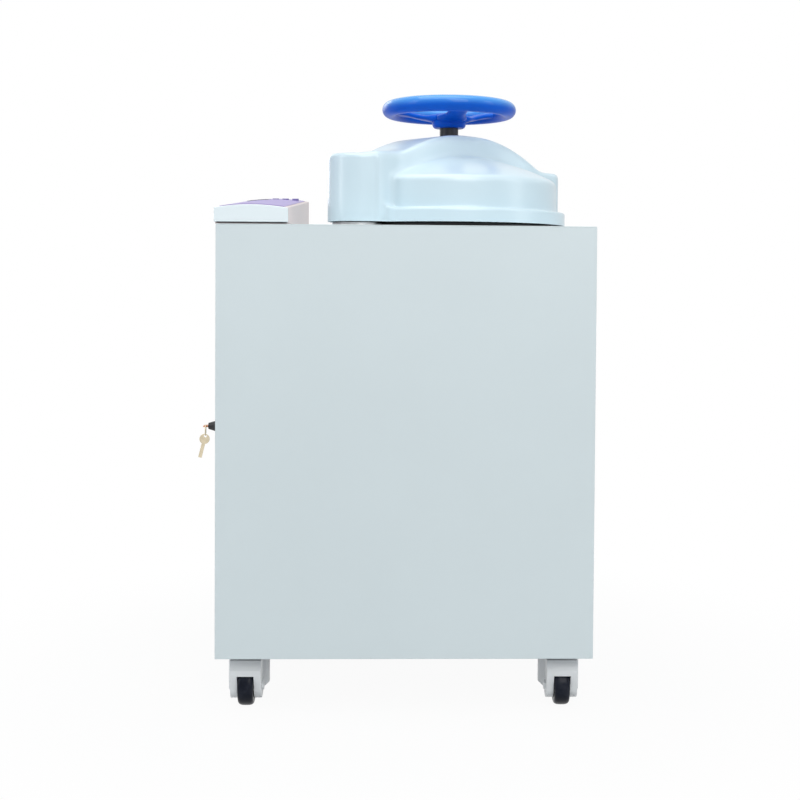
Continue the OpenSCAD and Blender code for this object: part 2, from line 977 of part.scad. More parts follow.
module drain_valve() {
  color("goldenrod") {
    translate([valve_x - valve_l / 2, 0, drain_z])
      rotate([0, 90, 0]) {
        cylinder(r = 1.6 * drain_r, h = valve_l / 4, $fn = 6);
        cylinder(r = 1.4 * drain_r, h = valve_l);
        translate([0, 0, valve_l * 3 / 4 - seat])
          cylinder(r = 1.6 * drain_r, h = valve_l / 4, $fn = 6);
      }
    translate([valve_x, 0, drain_z])
      cylinder(r = drain_r, h = 2 * drain_r);
    difference() {
      union() {
        translate([nozzle_x, 0, drain_z])
          rotate([0, 90, 0])
            cylinder(r = drain_r, h = valve_x - nozzle_x);
        translate([nozzle_x, 0, drain_z])
          sphere(r = drain_r);
        translate([nozzle_x, 0, floor_top - 2 * nozzle_r])
          cylinder(r = drain_r, h = drain_z - floor_top + 2 * nozzle_r);
        translate([nozzle_x, 0, nozzle_low])
          cylinder(r = nozzle_r, h = drain_z - nozzle_low);
      }
      translate([nozzle_x, 0, nozzle_low - cut])
        cylinder(r = nozzle_r - pipe_t, h = drain_z - nozzle_low + cut);
    }
  }
}

module drain_lever() {
  low = drain_z + 2 * drain_r + slip;
  color("firebrick")
    translate([valve_x, 0, low]) {
      cylinder(r = drain_r, h = lever_t);
      translate([-drain_r / 2, 0, 0])
        cube([drain_r, 9 * drain_r, lever_t]);
      translate([0, 9 * drain_r, 0])
        cylinder(r = drain_r, h = lever_t);
      translate([0, 0, lever_t])
        cylinder(r = drain_r / 2, h = lever_nut_h, $fn = 6);
    }
}

module exhaust_pipe() {
  r = drain_r;
  down = bottle_top() + seat;
  color("sandybrown") {
    translate([exhaust_x, exhaust_y, port_z])
      rotate([0, 90, 0])
        cylinder(r = r,
          h = chamber_x - exhaust_x + chamber_t - sqrt(pow(chamber_out, 2) - pow(exhaust_y, 2)));
    translate([bottle_x, exhaust_y, port_z])
      sphere(r = r);
    translate([bottle_x, exhaust_y, port_z])
      rotate([0, 90, 0])
        cylinder(r = r, h = exhaust_x - valve_block - seat - bottle_x);
    translate([bottle_x, exhaust_y, port_z - 3 * r])
      cylinder(r = r, h = 3 * r);
    translate([bottle_x, exhaust_y, port_z - 3 * r])
      sphere(r = r);
    translate([bottle_x, exhaust_y, port_z - 3 * r])
      rotate([90, 0, 0])
        cylinder(r = r, h = exhaust_y - bottle_y);
    translate([bottle_x, bottle_y, port_z - 3 * r])
      sphere(r = r);
    translate([bottle_x, bottle_y, down])
      cylinder(r = r, h = port_z - 3 * r - down);
  }
}

module exhaust_valve() {
  color("darkgoldenrod")
    translate([exhaust_x - seat - valve_block / 2, exhaust_y, port_z]) {
      cube([valve_block, valve_block, valve_block], center = true);
      translate([0, 0, valve_block / 2])
        cylinder(r = valve_block / 4, h = valve_block / 6);
    }
  color("black")
    translate([exhaust_x - seat - valve_block / 2, exhaust_y, port_z + valve_block * 2 / 3])
      slab(valve_block * 1.1, valve_block * 1.3, valve_block * 0.8);
}

module safety_valve() {
  reach = chamber_x - sqrt(pow(chamber_out, 2) - pow(safety_y, 2)) + chamber_t - safety_x;
  color("goldenrod")
    translate([safety_x, safety_y, port_z]) {
      rotate([0, 90, 0])
        cylinder(r = drain_r, h = reach);
      cylinder(r = 1.6 * drain_r, h = 2 * drain_r, $fn = 6);
      translate([0, 0, -1.6 * drain_r])
        cylinder(r = 1.4 * drain_r, h = 4 * drain_r);
      cylinder(r = drain_r / 3, h = safety_stem_top);
      for (sy = [-1, 1])
        translate([safety_pivot - drain_r / 2,
          sy * (safety_lever_half + slip + safety_ear_t / 2) - safety_ear_t / 2, 2 * drain_r])
          cube([drain_r, safety_ear_t, safety_eye_z + safety_eye_r - 2 * drain_r]);
      translate([safety_pivot, safety_lever_half + slip + safety_ear_t, safety_eye_z])
        rotate([90, 0, 0])
          cylinder(r = safety_pin_r, h = 2 * (safety_lever_half + slip + safety_ear_t));
    }
}

module safety_lever() {
  color("firebrick")
    translate([safety_x + safety_pivot, safety_y, port_z + safety_eye_z])
      difference() {
        union() {
          translate([0, safety_lever_half, 0])
            rotate([90, 0, 0])
              cylinder(r = safety_eye_r, h = 2 * safety_lever_half);
          translate([-safety_lever_l, -safety_lever_half, -safety_lever_t / 2])
            cube([safety_lever_l, 2 * safety_lever_half, safety_lever_t]);
          translate([-safety_lever_l, 0, -safety_lever_t / 2])
            cylinder(r = 2 * safety_lever_half, h = safety_lever_t);
        }
        translate([0, safety_lever_half + cut, 0])
          rotate([90, 0, 0])
            cylinder(r = safety_pin_r + run, h = 2 * (safety_lever_half + cut));
        translate([-safety_lever_l, 0, -safety_lever_t])
          cylinder(r = safety_lever_half, h = 2 * safety_lever_t);
      }
}

function bottle_top() = floor_top + bottle_h + bottle_slope + neck_h + cap_h;

module condensate_bottle() {
  low = floor_top + seat;
  neck_low = bottle_h + bottle_slope;
  neck_top = neck_low + neck_h;
  color("white")
    translate([bottle_x, bottle_y, low])
      rotate_extrude()
        polygon([
          [0, 0],
          [bottle_r - bottle_foot, 0],
          [bottle_r, bottle_foot],
          [bottle_r, bottle_h * band_shares[0]],
          [bottle_r - band_depth, bottle_h * band_shares[1]],
          [bottle_r - band_depth, bottle_h * band_shares[2]],
          [bottle_r, bottle_h * band_shares[3]],
          [bottle_r, bottle_h - bottle_shoulder],
          [bottle_r - bottle_bend, bottle_h - bottle_bend],
          [neck_r + bottle_bend, neck_low],
          [neck_r, neck_low + bottle_bend],
          [neck_r, neck_top],
          [neck_r + cap_over, neck_top],
          [neck_r + cap_over, neck_top + cap_h],
          [0, neck_top + cap_h]
        ]);
}

module control_board() {
  x = -body_w / 4;
  z = ground_gap + body_h * board_share;
  back = half_d - sheet_t - board_post;
  front = back - board_t;
  color("seagreen")
    slab(board_w, board_t, board_h, [x, back - board_t / 2, z]);
  color("silver")
    for (sx = [-1, 1], up = [board_edge, board_h - board_edge])
      translate([x + sx * (board_w / 2 - board_edge), back, z + up])
        rotate([-90, 0, 0])
          cylinder(r = board_post_r, h = board_post - seat, $fn = 6);
  color("dimgray") {
    slab(relay[0], relay[1], relay[2], [x + relay_place[0], front - relay[1] / 2, z + relay_place[1]]);
    slab(supply[0], supply[1], supply[2],
      [x + supply_place[0], front - supply[1] / 2, z + supply_place[1]]);
    for (i = [-2:2])
      translate([x + i * can_pitch, front, z + can_z])
        rotate([90, 0, 0])
          cylinder(r = can_r, h = can_h, $fn = 24);
  }
}

module cable_gland() {
  color("dimgray")
    translate([-gland_x, half_d, gland_z])
      rotate([-90, 0, 0])
        difference() {
          union() {
            translate([0, 0, -gland_tail])
              cylinder(r = gland_r - slip, h = gland_tail + seat);
            translate([0, 0, seat])
              cylinder(r = 1.4 * gland_r, h = gland_nut_h, $fn = 6);
            translate([0, 0, -sheet_t - seat - gland_nut_h])
              cylinder(r = 1.4 * gland_r, h = gland_nut_h, $fn = 6);
            cylinder(r = gland_r, h = gland_nose);
          }
          translate([0, 0, -gland_tail - cut])
            cylinder(r = gland_bore_r, h = gland_tail + gland_nose + 2 * cut);
        }
}

module switch_frame() {
  color("black")
    translate([-switch_x, half_d, switch_z])
      difference() {
        union() {
          translate([-switch_w / 2, -switch_deep, -switch_h / 2])
            cube([switch_w, switch_deep + seat, switch_h]);
          translate([-switch_w / 2 - switch_wall, seat, -switch_h / 2 - switch_wall])
            cube([switch_w + 2 * switch_wall, switch_wall, switch_h + 2 * switch_wall]);
        }
        translate([-switch_w / 2 + switch_wall, -switch_pocket, -switch_h / 2 + switch_wall])
          cube([switch_w - 2 * switch_wall, switch_pocket + switch_wall + cut,
            switch_h - 2 * switch_wall]);
      }
}

module switch_rocker() {
  w = switch_w - 2 * switch_wall - 2 * slip;
  h = switch_h - 2 * switch_wall - 8 * slip;
  color("red")
    translate([-switch_x - w / 2, half_d - rocker_in, switch_z])
      rotate([0, 90, 0])
        linear_extrude(height = w)
          polygon([
            [-h / 2 + rocker_round, -rocker_deep],
            [h / 2 - rocker_round, -rocker_deep],
            [h / 2, rocker_in],
            [h / 2 - rocker_round, rocker_high],
            [0, rocker_mid],
            [-h / 2 + rocker_round, rocker_low],
            [-h / 2, rocker_round]
          ]);
}

// Pivot post and catch, fixed to the deck

module pivot_post() {
  color("peru")
    lid_place() {
      translate([-arm_len, 0, 0]) {
        translate([0, 0, foot_top])
          cylinder(r = pivot_r, h = hub_top + slip + collar_top_h - foot_top);
        translate([0, 0, cover_low])
          cylinder(r = pivot_r + post_step, h = hub_low - slip - cover_low);
        translate([0, 0, hub_top + slip])
          cylinder(r = pivot_r + collar_over, h = collar_top_h);
        for (a = post_bolts)
          rotate([0, 0, a])
            translate([hub_r - post_bolt_r, 0, foot_top])
              cylinder(r = post_bolt_r, h = post_bolt_h, $fn = 6);
      }
      difference() {
        translate([-arm_len, 0, 0])
          cylinder(r = hub_r + post_foot_over, h = foot_top - seat);
        translate([0, 0, -cut])
          cylinder(r = flange_r + 2 * slip, h = cover_low + 2 * cut);
      }
    }
}

module catch_stud() {
  color("silver")
    lid_place()
      translate([catch_t, 0, 0]) {
        cylinder(r = catch_head_r + catch_gap, h = foot_top);
        cylinder(r = catch_r, h = foot_low + foot_h + catch_gap);
        translate([0, 0, foot_low + foot_h + slip])
          cylinder(r = catch_head_r, h = catch_head_h);
        translate([0, 0, foot_low + foot_h + slip + catch_head_h])
          cylinder(r1 = catch_head_r, r2 = catch_head_r - catch_bevel, h = catch_bevel);
      }
}

// Console

module console_place() {
  translate([console_x, console_y, deck_z])
    children();
}

module console_top_place() {
  console_place()
    translate([0, 0, console_front_h + console_crown])
      rotate([console_slope, 0, 0])
        children();
}

module crown_bar(rise) {
  translate([0, 0, console_front_h + console_crown])
    rotate([console_slope, 0, 0])
      translate([0, -console_w, -crown_ball])
        rotate([-90, 0, 0])
          cylinder(r = crown_ball + rise, h = console_l + 2 * console_w, $fn = 180);
}

module console_block(shrink, front, rear) {
  intersection() {
    translate([-console_w / 2 + shrink, front, console_lift - (shrink > 0 ? cut : 0)])
      cube([console_w - 2 * shrink, rear - front, 2 * console_back_h]);
    crown_bar(-shrink);
  }
}

module console_housing() {
  foot_w = console_w - 2 * console_foot_inset;
  foot_l = console_l - cap_l - 2 * console_foot_inset;
  foot_y = (console_l + cap_l) / 2;
  color("lavenderblush")
    console_place()
      difference() {
        union() {
          console_block(0, cap_l + seat, console_l);
          slab(foot_w, foot_l, console_lift + seat, [0, foot_y, seat]);
        }
        console_block(console_t, cap_l - cut, console_l - console_t);
        slab(foot_w - 2 * console_foot_w, foot_l - 2 * console_foot_w, 2 * console_lift,
          [0, foot_y, -cut]);
        key_holes(key_r + slip);
      }
}

module key_holes(r) {
  for (k = [-1, 0, 1])
    translate([0, 0, console_front_h + console_crown])
      rotate([console_slope, 0, 0])
        translate([key_spot(k), key_y, -console_back_h / 2])
          cylinder(r = r, h = console_back_h);
}

function key_spot(k) = console_w * (key_place_share + k * key_spread_share);

module console_front_cap() {
  color("azure")
    console_place()
      difference() {
        union() {
          console_block(0, 0, cap_l);
          intersection() {
            translate([-console_w / 2 + console_t + slip, cap_l - cut, console_lift + console_t])
              cube([console_w - 2 * (console_t + slip), cap_lap + cut, 2 * console_back_h]);
            crown_bar(-console_t - slip);
          }
        }
        translate([-console_w / 2 + 2 * console_t, console_t, console_lift - cut])
          cube([console_w - 4 * console_t, cap_l + cap_lap + cut, console_front_h - 2 * console_t]);
      }
}

module console_membrane() {
  color("mediumslateblue")
    console_place()
      difference() {
        intersection() {
          difference() {
            crown_bar(membrane_t + seat);
            crown_bar(seat);
          }
          translate([-console_w / 2 + membrane_edge, cap_l + membrane_edge, 0])
            cube([console_w - 2 * membrane_edge, console_l - cap_l - 3 * membrane_edge,
              2 * console_back_h]);
        }
        key_holes(key_r + slip);
        translate([0, 0, console_front_h + console_crown])
          rotate([console_slope, 0, 0])
            slab(display_w + 2 * seat, display_l + 2 * seat, 2 * console_crown,
              [display_x, display_y, -console_crown]);
      }
}

module console_display() {
  color("midnightblue")
    console_place()
      intersection() {
        difference() {
          crown_bar(2 * membrane_t + seat);
          crown_bar(seat);
        }
        translate([0, 0, console_front_h + console_crown])
          rotate([console_slope, 0, 0])
            slab(display_w, display_l, 2 * console_crown, [display_x, display_y, -console_crown]);
      }
}

module key(k) {
  under = -console_t - pow(abs(key_spot(k)) + key_r, 2) / (2 * crown_ball) - slip;
  color("slategray")
    console_top_place()
      translate([key_spot(k), key_y, 0]) {
        translate([0, 0, under - key_flange])
          cylinder(r = key_r, h = membrane_t + key_travel + key_proud - under + key_flange);
        translate([0, 0, under - key_flange])
          cylinder(r = key_r + key_flange, h = key_flange);
      }
}

// Service door, its hinges and its lock

module service_door() {
  color("lightsteelblue")
    difference() {
      mirror([1, 0, 0])
        side_tray(slip);
      translate([-half_w - cut, lock_y, lock_z])
        rotate([0, 90, 0])
          cylinder(r = lock_r + seat, h = sheet_t + 2 * cut);
    }
}

module hinge_places() {
  for (share = hinge_shares)
    translate([hinge_x, hinge_y, ground_gap + body_h * share])
      children();
}

module door_hinge_leaves() {
  third = hinge_h / 3;
  color("silver")
    hinge_places() {
      translate([0, 0, third + slip])
        tube(hinge_r, hinge_pin_r + run, third - 2 * slip);
      translate([-half_w - sheet_t - seat - hinge_x, -hinge_leaf - hinge_r, 0])
        cube([sheet_t, hinge_leaf, hinge_h]);
      translate([-half_w - sheet_t - seat - hinge_x, -hinge_r - cut, third + slip])
        cube([sheet_t, hinge_r - hinge_pin_r + cut - 2 * run, third - 2 * slip]);
    }
}

module frame_hinge_leaves() {
  third = hinge_h / 3;
  leaf = fold_w - hinge_r - 2 * seam_gap;
  color("silver")
    hinge_places() {
      cylinder(r = hinge_pin_r, h = hinge_h);
      for (z = [0, 2 * third])
        translate([0, 0, z]) {
          tube(hinge_r, hinge_pin_r - run, third);
          translate([-half_w - sheet_t - seat - hinge_x, hinge_pin_r + run, 0])
            cube([sheet_t, hinge_r, third]);
        }
      translate([-half_w - sheet_t - seat - hinge_x, hinge_r + run, 0])
        cube([sheet_t, leaf, hinge_h]);
    }
}

module lock_place() {
  translate([-half_w, lock_y, lock_z])
    rotate([0, -90, 0])
      children();
}

module lock_barrel() {
  color("black")
    lock_place()
      difference() {
        union() {
          translate([0, 0, -lock_depth])
            cylinder(r = lock_r, h = lock_depth + seat);
          translate([0, 0, seat])
            cylinder(r1 = lock_r + lock_rim_over, r2 = lock_r + lock_rim_over - lock_rim_bevel,
              h = lock_rim);
          translate([0, 0, seat + lock_rim])
            cylinder(r1 = lock_r, r2 = lock_nose_r, h = lock_nose - lock_rim);
          translate([0, 0, -sheet_t - seat - lock_nut_h])
            cylinder(r = lock_r + lock_nut_over, h = lock_nut_h, $fn = 6);
        }
        translate([0, 0, -lock_depth - cut])
          cylinder(r = plug_r + run, h = lock_depth + lock_nose + 2 * cut + seat);
      }
}

module lock_plug_and_key() {
  tail = lock_depth + slip + cam_t;
  bow_low = lock_nose + slip;
  color("black")
    lock_place() {
      translate([0, 0, -tail])
        cylinder(r = plug_r, h = tail + lock_nose);
      translate([0, -cam_w / 2, -tail])
        cube([cam_l, cam_w, cam_t]);
      translate([-key_t / 2, -plug_r / 2, lock_nose - seat])
        cube([key_t, plug_r, 2 * slip]);
      difference() {
        translate([-key_t / 2, -bow_half, bow_low])
          cube([key_t, 2 * bow_half, key_reach - bow_low]);
        translate([-key_t / 2 - cut, -bow_half + bow_web, bow_hole_place - bow_hole_half])
          cube([key_t + 2 * cut, bow_hole_l, 2 * bow_hole_half]);
      }
    }
}

// Middle of the key ring, which hangs over the web of the key's bow
module ring_place() {
  drop = sqrt(pow(ring_r - ring_wire, 2) - pow(bow_web / 2, 2)) - key_t / 2 - seat;
  translate([-half_w - bow_hole_place, lock_y - bow_half + bow_web / 2, lock_z - drop])
    rotate([0, 0, ring_turn])
      children();
}

module key_ring_and_spare() {
  color("goldenrod")
    ring_place()
      rotate([0, 90, 0])
        rotate_extrude()
          translate([ring_r, 0])
            circle(r = ring_wire, $fn = 16);
  color("palegoldenrod")
    ring_place()
      translate([0, 0, -ring_r])
        rotate([0, spare_tilt, 0])
          translate([0, 0, ring_wire + seat - bow_hole_r - spare_hole])
            difference() {
              union() {
                translate([0, key_t / 2, 0])
                  rotate([90, 0, 0])
                    cylinder(r = spare_r, h = key_t);
                translate([-spare_blade_w / 2, -key_t / 2, -spare_l])
                  cube([spare_blade_w, key_t, spare_l]);
              }
              translate([0, key_t / 2 + cut, spare_hole])
                rotate([90, 0, 0])
                  cylinder(r = bow_hole_r, h = key_t + 2 * cut);
            }
}

// Lid: cover, beam, pressure lid and screw

function cover_profile(s) = let (
    low = s > 0 ? cover_low - cut : cover_low,
    wall = cover_wall_r - s,
    shoulder = cover_wall_r - shoulder_r,
    turn = dome(shoulder) - s,
    n = 6
  ) concat(
    [[0, low], [cover_rim_r - s, low], [cover_rim_r - s, cover_rim_h - rim_round - s]],
    [[cover_rim_r - s - rim_round, cover_rim_h - s]],
    [for (p = rim_fillet_shares)
      [wall + rim_fillet * p[0], cover_rim_h + rim_slope * (1 - p[1]) + rim_fillet * p[1] - s]],
    [for (i = [0:n]) let (a = 80 * i / n)
      [shoulder - s + shoulder_r * cos(a), turn - shoulder_r + shoulder_r * sin(a)]],
    [for (i = [11:-1:0]) let (r = (shoulder - s) * i / 12) [r, dome(r) - s]]
  );

module cover_round(s) {
  rotate_extrude($fn = 180)
    polygon(cover_profile(s));
}

module plan_of_fairing(s) {
  h = crest_top + boss_top;
  low = s > 0 ? cover_low - cut : cover_low;
  translate([0, 0, low]) {
    linear_extrude(height = h)
      polygon([
        [-arm_len, -boss_r + s],
        [-arm_len / 2, -fairing_half + s],
        [nose_mid * nose_taper_share, -fairing_half + s],
        [nose_mid, -nose_half + s],
        [nose_mid, nose_half - s],
        [nose_mid * nose_taper_share, fairing_half - s],
        [-arm_len / 2, fairing_half - s],
        [-arm_len, boss_r - s]
      ]);
    translate([-arm_len, 0, 0])
      cylinder(r = boss_r - s, h = h);
    translate([0, -nose_half + nose_corner_r, 0])
      cube([nose_end - s, 2 * (nose_half - nose_corner_r), h]);
    for (sy = [-1, 1])
      translate([nose_mid, sy * (nose_half - nose_corner_r), 0])
        cylinder(r = nose_corner_r - s, h = h);
  }
}

module crest_of_fairing(s) {
  low = s > 0 ? cover_low - cut : cover_low;
  left = -arm_len - boss_r;
  right = nose_end;
  n = 34;
  rotate([90, 0, 0])
    linear_extrude(height = 4 * fairing_half, center = true)
      polygon(concat(
        [[right + cut, low], [left - cut, low]],
        [[left - cut, crest_boss - s]],
        [for (i = [0:n]) let (t = -crest_len_boss + (crest_len_boss + crest_len_far) * i / n)
          [t, crest(t) - s]],
        [[right + cut, crest_far - s]]
      ));
}

module fairing(s) {
  intersection() {
    plan_of_fairing(s);
    crest_of_fairing(s);
  }
}

module webs(s) {
  low = s > 0 ? cover_low - cut : cover_low;
  for (sy = [-1, 1])
    scale([1, sy, 1])
      difference() {
        translate([0, 0, low])
          linear_extrude(height = cover_wall_h - low - s)
            polygon([
              [-arm_len + (web_t + arm_len) * boss_r / (boss_r + web_r), web_y * boss_r / (boss_r + web_r)],
              [web_t, web_y],
              [web_t * cover_wall_r / web_reach, web_y * cover_wall_r / web_reach],
              [-cover_wall_r + boss_r, 0],
              [-arm_len, 0]
            ]);
        translate([web_t, web_y, 0])
          cylinder(r = web_r + s, h = cover_wall_h + cover_low);
      }
}

module boss_top_disc(s) {
  low = s > 0 ? cover_low - cut : cover_low;
  translate([-arm_len, 0, 0])
    rotate_extrude()
      polygon([
        [0, low],
        [boss_r - s, low],
        [boss_r - s, boss_top - boss_round - s],
        [boss_r - s - boss_round * round_share, boss_top - boss_round * round_share - s],
        [boss_r - s - boss_round, boss_top - s],
        [0, boss_top - s]
      ]);
}

module lid_cover() {
  color("aliceblue")
    lid_place()
      difference() {
        union() {
          cover_round(0);
          fairing(0);
          webs(0);
          boss_top_disc(0);
        }
        union() {
          cover_round(cover_t);
          fairing(cover_t);
          webs(cover_t);
          boss_top_disc(cover_t);
        }
        cylinder(r = sleeve_r + sleeve_gap, h = 2 * crest_top);
        translate([end_wall_t, foot_half, 0])
          cube([catch_t + catch_head_r + catch_gap - end_wall_t, catch_window_w,
            foot_low + foot_h + catch_window_h]);
      }
}

module beam_outline() {
  inner = cover_t + beam_clear;
  start = -arm_len + hub_r / 2;
  stop = end_wall_t + end_wall_w;
  n = 22;
  polygon(concat(
    [[stop, cheek_low], [start, cheek_low]],
    [for (i = [0:n]) let (t = start + (stop - start) * i / n) [t, crest(t) - inner]]
  ));
}

module lid_beam() {
  color("slategray")
    lid_place()
      difference() {
        union() {
          for (sy = [-1, 1])
            translate([0, sy * (cheek_gap_half + cheek_t / 2) + cheek_t / 2, 0])
              rotate([90, 0, 0])
                linear_extrude(height = cheek_t)
                  beam_outline();
          translate([-arm_len, 0, hub_low])
            cylinder(r = hub_r, h = hub_top - hub_low);
          translate([-arm_len, -cheek_gap_half, cheek_low])
            cube([hub_r + hub_tail, 2 * cheek_gap_half, hub_top - cheek_low]);
          slab(2 * nut_flange_r, 2 * cheek_gap_half, block_top - block_low, [0, 0, block_low]);
          for (sx = [-1, 1])
            slab(rod_block, 2 * cheek_gap_half, rod_block, [sx * rod_place, 0, block_low]);
          translate([end_wall_t, -foot_half, foot_low])
            cube([end_wall_w, 2 * foot_half, crest_far - beam_clear - cover_t - foot_low]);
          translate([end_wall_t, -cheek_gap_half - cheek_t, cheek_low])
            cube([end_wall_w, 2 * (cheek_gap_half + cheek_t),
              crest_far - beam_clear - cover_t - cheek_low]);
          translate([end_wall_t, -foot_half, foot_low])
            cube([foot_end - end_wall_t, 2 * foot_half, foot_h]);
          for (t = [-pillar_t, pillar_t], sy = [-1, 1])
            translate([t, sy * (cheek_gap_half + cheek_t / 2), cheek_low])
              cylinder(r = pillar_r,
                h = crest(t + sign(t) * pillar_r) - cover_t - slip - cheek_low);
        }
        translate([-arm_len, 0, 0])
          cylinder(r = pivot_r + run, h = boss_top);
        cylinder(r = nut_r + seat, h = crest_top);
        for (sx = [-1, 1])
          translate([sx * rod_place, 0, 0])
            cylinder(r = rod_r + run, h = crest_top);
        translate([catch_t, 0, 0])
          cylinder(r = catch_r + catch_gap, h = foot_low + foot_h + cut);
        translate([catch_t - catch_r - catch_gap, 0, 0])
          cube([2 * (catch_r + catch_gap), 2 * foot_half, foot_low + foot_h + cut]);
      }
}

module spindle_nut() {
  color("darkgoldenrod")
    lid_place()
      difference() {
        union() {
          translate([0, 0, block_low - nut_flange_h])
            cylinder(r = nut_r, h = block_top - block_low + nut_flange_h + nut_lip);
          translate([0, 0, block_low - nut_flange_h - seat])
            cylinder(r = nut_flange_r, h = nut_flange_h);
        }
        translate([0, 0, block_low - nut_flange_h - seat - cut])
          cylinder(r = spindle_r + run, h = crest_top);
      }
}

module pressure_lid() {
  n = 8;
  color("silver")
    lid_place() {
      difference() {
        union() {
          rotate_extrude($fn = 180)
            polygon(concat(
              [for (i = [0:n]) let (a = 90 * i / n)
                [plate_dome_r * sin(a), plate_low + (plate_dome_h - plate_dome_t + plate_rim_h) * cos(a)]],
              [[plate_r - plate_round, plate_low], [plate_r, plate_low + plate_round]],
              [[plate_r, plate_top - plate_round], [plate_r - plate_round, plate_top]],
              [for (i = [n:-1:0]) let (a = 90 * i / n)
                [plate_dome_r * sin(a), plate_top + plate_dome_h * cos(a)]]
            ));
          translate([0, 0, plate_apex - plate_dome_t / 2])
            cylinder(r = thrust_boss_r, h = thrust_boss_top - plate_apex + plate_dome_t / 2);
          for (sx = [-1, 1])
            translate([sx * rod_place, 0, plate_top + plate_dome_h * rod_root_share])
              cylinder(r = rod_r, h = rod_top - plate_top - plate_dome_h * rod_root_share);
        }
        translate([0, 0, thrust_pocket_z])
          cylinder(r = thrust_pocket_r, h = crest_top);
      }
    }
}

module thrust_ring() {
  color("darkgoldenrod")
    lid_place()
      translate([0, 0, thrust_boss_top - ring_h])
        tube(thrust_pocket_r - seat, spindle_r + run, ring_h);
}

module spindle() {
  low = thrust_pocket_z + slip;
  color("dimgray")
    lid_place()
      union() {
        translate([0, 0, low])
          cylinder(r = spindle_r, h = wheel_hub_low - low);
        translate([0, 0, low])
          cylinder(r = thrust_pocket_r - slip, h = collar_h);
        translate([0, 0, wheel_hub_low - cut])
          cylinder(r = spindle_r - spindle_step, h = spindle_top - wheel_hub_low + cut);
        translate([0, 0, crest_top + slip])
          cylinder(r = sleeve_r, h = wheel_hub_low - crest_top - 2 * slip);
      }
}

module spoke_end(place, low, half, flat) {
  translate([place, 0, low])
    scale([flat, 1, 1])
      cylinder(r = half, h = spoke_t, $fn = 32);
}

module spoke() {
  waist = wheel_ring_r * spoke_waist_share;
  waist_low = wheel_z - wheel_tube_r * spoke_drop_share;
  hull() {
    spoke_end(wheel_hub_r * spoke_root_share, wheel_hub_low + wheel_hub_h / 2, spoke_root_half,
      spoke_flat_share);
    spoke_end(waist, waist_low, spoke_waist_half, spoke_flat_share);
  }
  hull() {
    spoke_end(waist, waist_low, spoke_waist_half, spoke_flat_share);
    spoke_end(wheel_ring_r - wheel_tube_r * spoke_sink_share, wheel_z - spoke_t / 2, spoke_tip_half,
      spoke_tip_share);
  }
}

module handwheel() {
  color("royalblue")
    lid_place()
      rotate([0, 0, first_spoke - beam_angle])
        difference() {
          union() {
            translate([0, 0, wheel_z])
              rotate_extrude($fn = 128)
                translate([wheel_ring_r, 0])
                  circle(r = wheel_tube_r, $fn = 48);
            translate([0, 0, wheel_hub_low])
              cylinder(r = wheel_hub_r, h = wheel_hub_h);
            for (i = [0:spoke_n - 1])
              rotate([0, 0, 360 * i / spoke_n])
                spoke();
          }
          translate([0, 0, wheel_hub_low - cut])
            cylinder(r = spindle_r - spindle_step + run, h = spindle_top - wheel_hub_low + cut + seat);
        }
}

// Casters

module caster_plates() {
  color("lightgray")
    caster_places() {
      translate([0, 0, ground_gap - caster_plate_t - seat])
        difference() {
          slab(plate_w, plate_l, caster_plate_t);
          for (bx = [-1, 1], by = [-1, 1])
            translate([bx * bolt_x, by * bolt_y, -cut])
              cylinder(r = bolt_r + slip, h = caster_plate_t + 2 * cut);
        }
      translate([0, 0, crown_top + slip])
        cylinder(r = race_r, h = race_h);
      translate([0, 0, crown_top - crown_t - king_head_h])
        cylinder(r = king_r, h = crown_t + race_h);
      translate([0, 0, crown_top - crown_t - king_head_h])
        cylinder(r = king_r + king_head_over, h = king_head_h - slip);
    }
  color("silver")
    caster_places()
      for (bx = [-1, 1], by = [-1, 1])
        translate([bx * bolt_x, by * bolt_y, 0])
          caster_bolt();
}

module caster_bolt() {
  head = ground_gap - caster_plate_t - 2 * seat - bolt_head_h;
  translate([0, 0, head])
    cylinder(r = 1.7 * bolt_r, h = bolt_head_h, $fn = 6);
  translate([0, 0, head])
    cylinder(r = bolt_r, h = floor_top - head);
}

// Side outline of the hooded fork, shrunk by s: the arm round the axle, the hood and the crown
function fork_outline(s) = let (
    arm = fork_arm_r - s,
    face = -caster_trail - hood_reach + s,
    top = s > 0 ? crown_top - crown_t : crown_top
  ) concat(
    [for (a = [-50:-20:-190]) [-caster_trail + arm * cos(a), wheel_r + arm * sin(a)]],
    [[face, hood_low], [face, crown_top - 2 * crown_t], [face + crown_t, top]],
    [[crown_r * fork_back_share - s, top]]
  );

module fork_slice(s, half) {
  translate([-half, 0, 0])
    rotate([90, 0, 90])
      linear_extrude(height = 2 * half)
        polygon(fork_outline(s));
}

module on_axle(from, to, r, n = 64) {
  translate([from, -caster_trail, wheel_r])
    rotate([0, 90, 0])
      cylinder(r = r, h = to - from, $fn = n);
}

module caster_cup() {
  rotate_extrude()
    polygon([
      [0, crown_top],
      [crown_r - crown_wall, crown_top],
      [crown_r, crown_top - crown_wall],
      [crown_r, cup_low + cup_bevel],
      [crown_r - cup_bevel, cup_low],
      [crown_r - cup_bevel - crown_wall, cup_low],
      [crown_r - crown_wall, cup_low + cup_bevel + crown_wall],
      [crown_r - crown_wall, crown_top - crown_t],
      [0, crown_top - crown_t]
    ]);
}

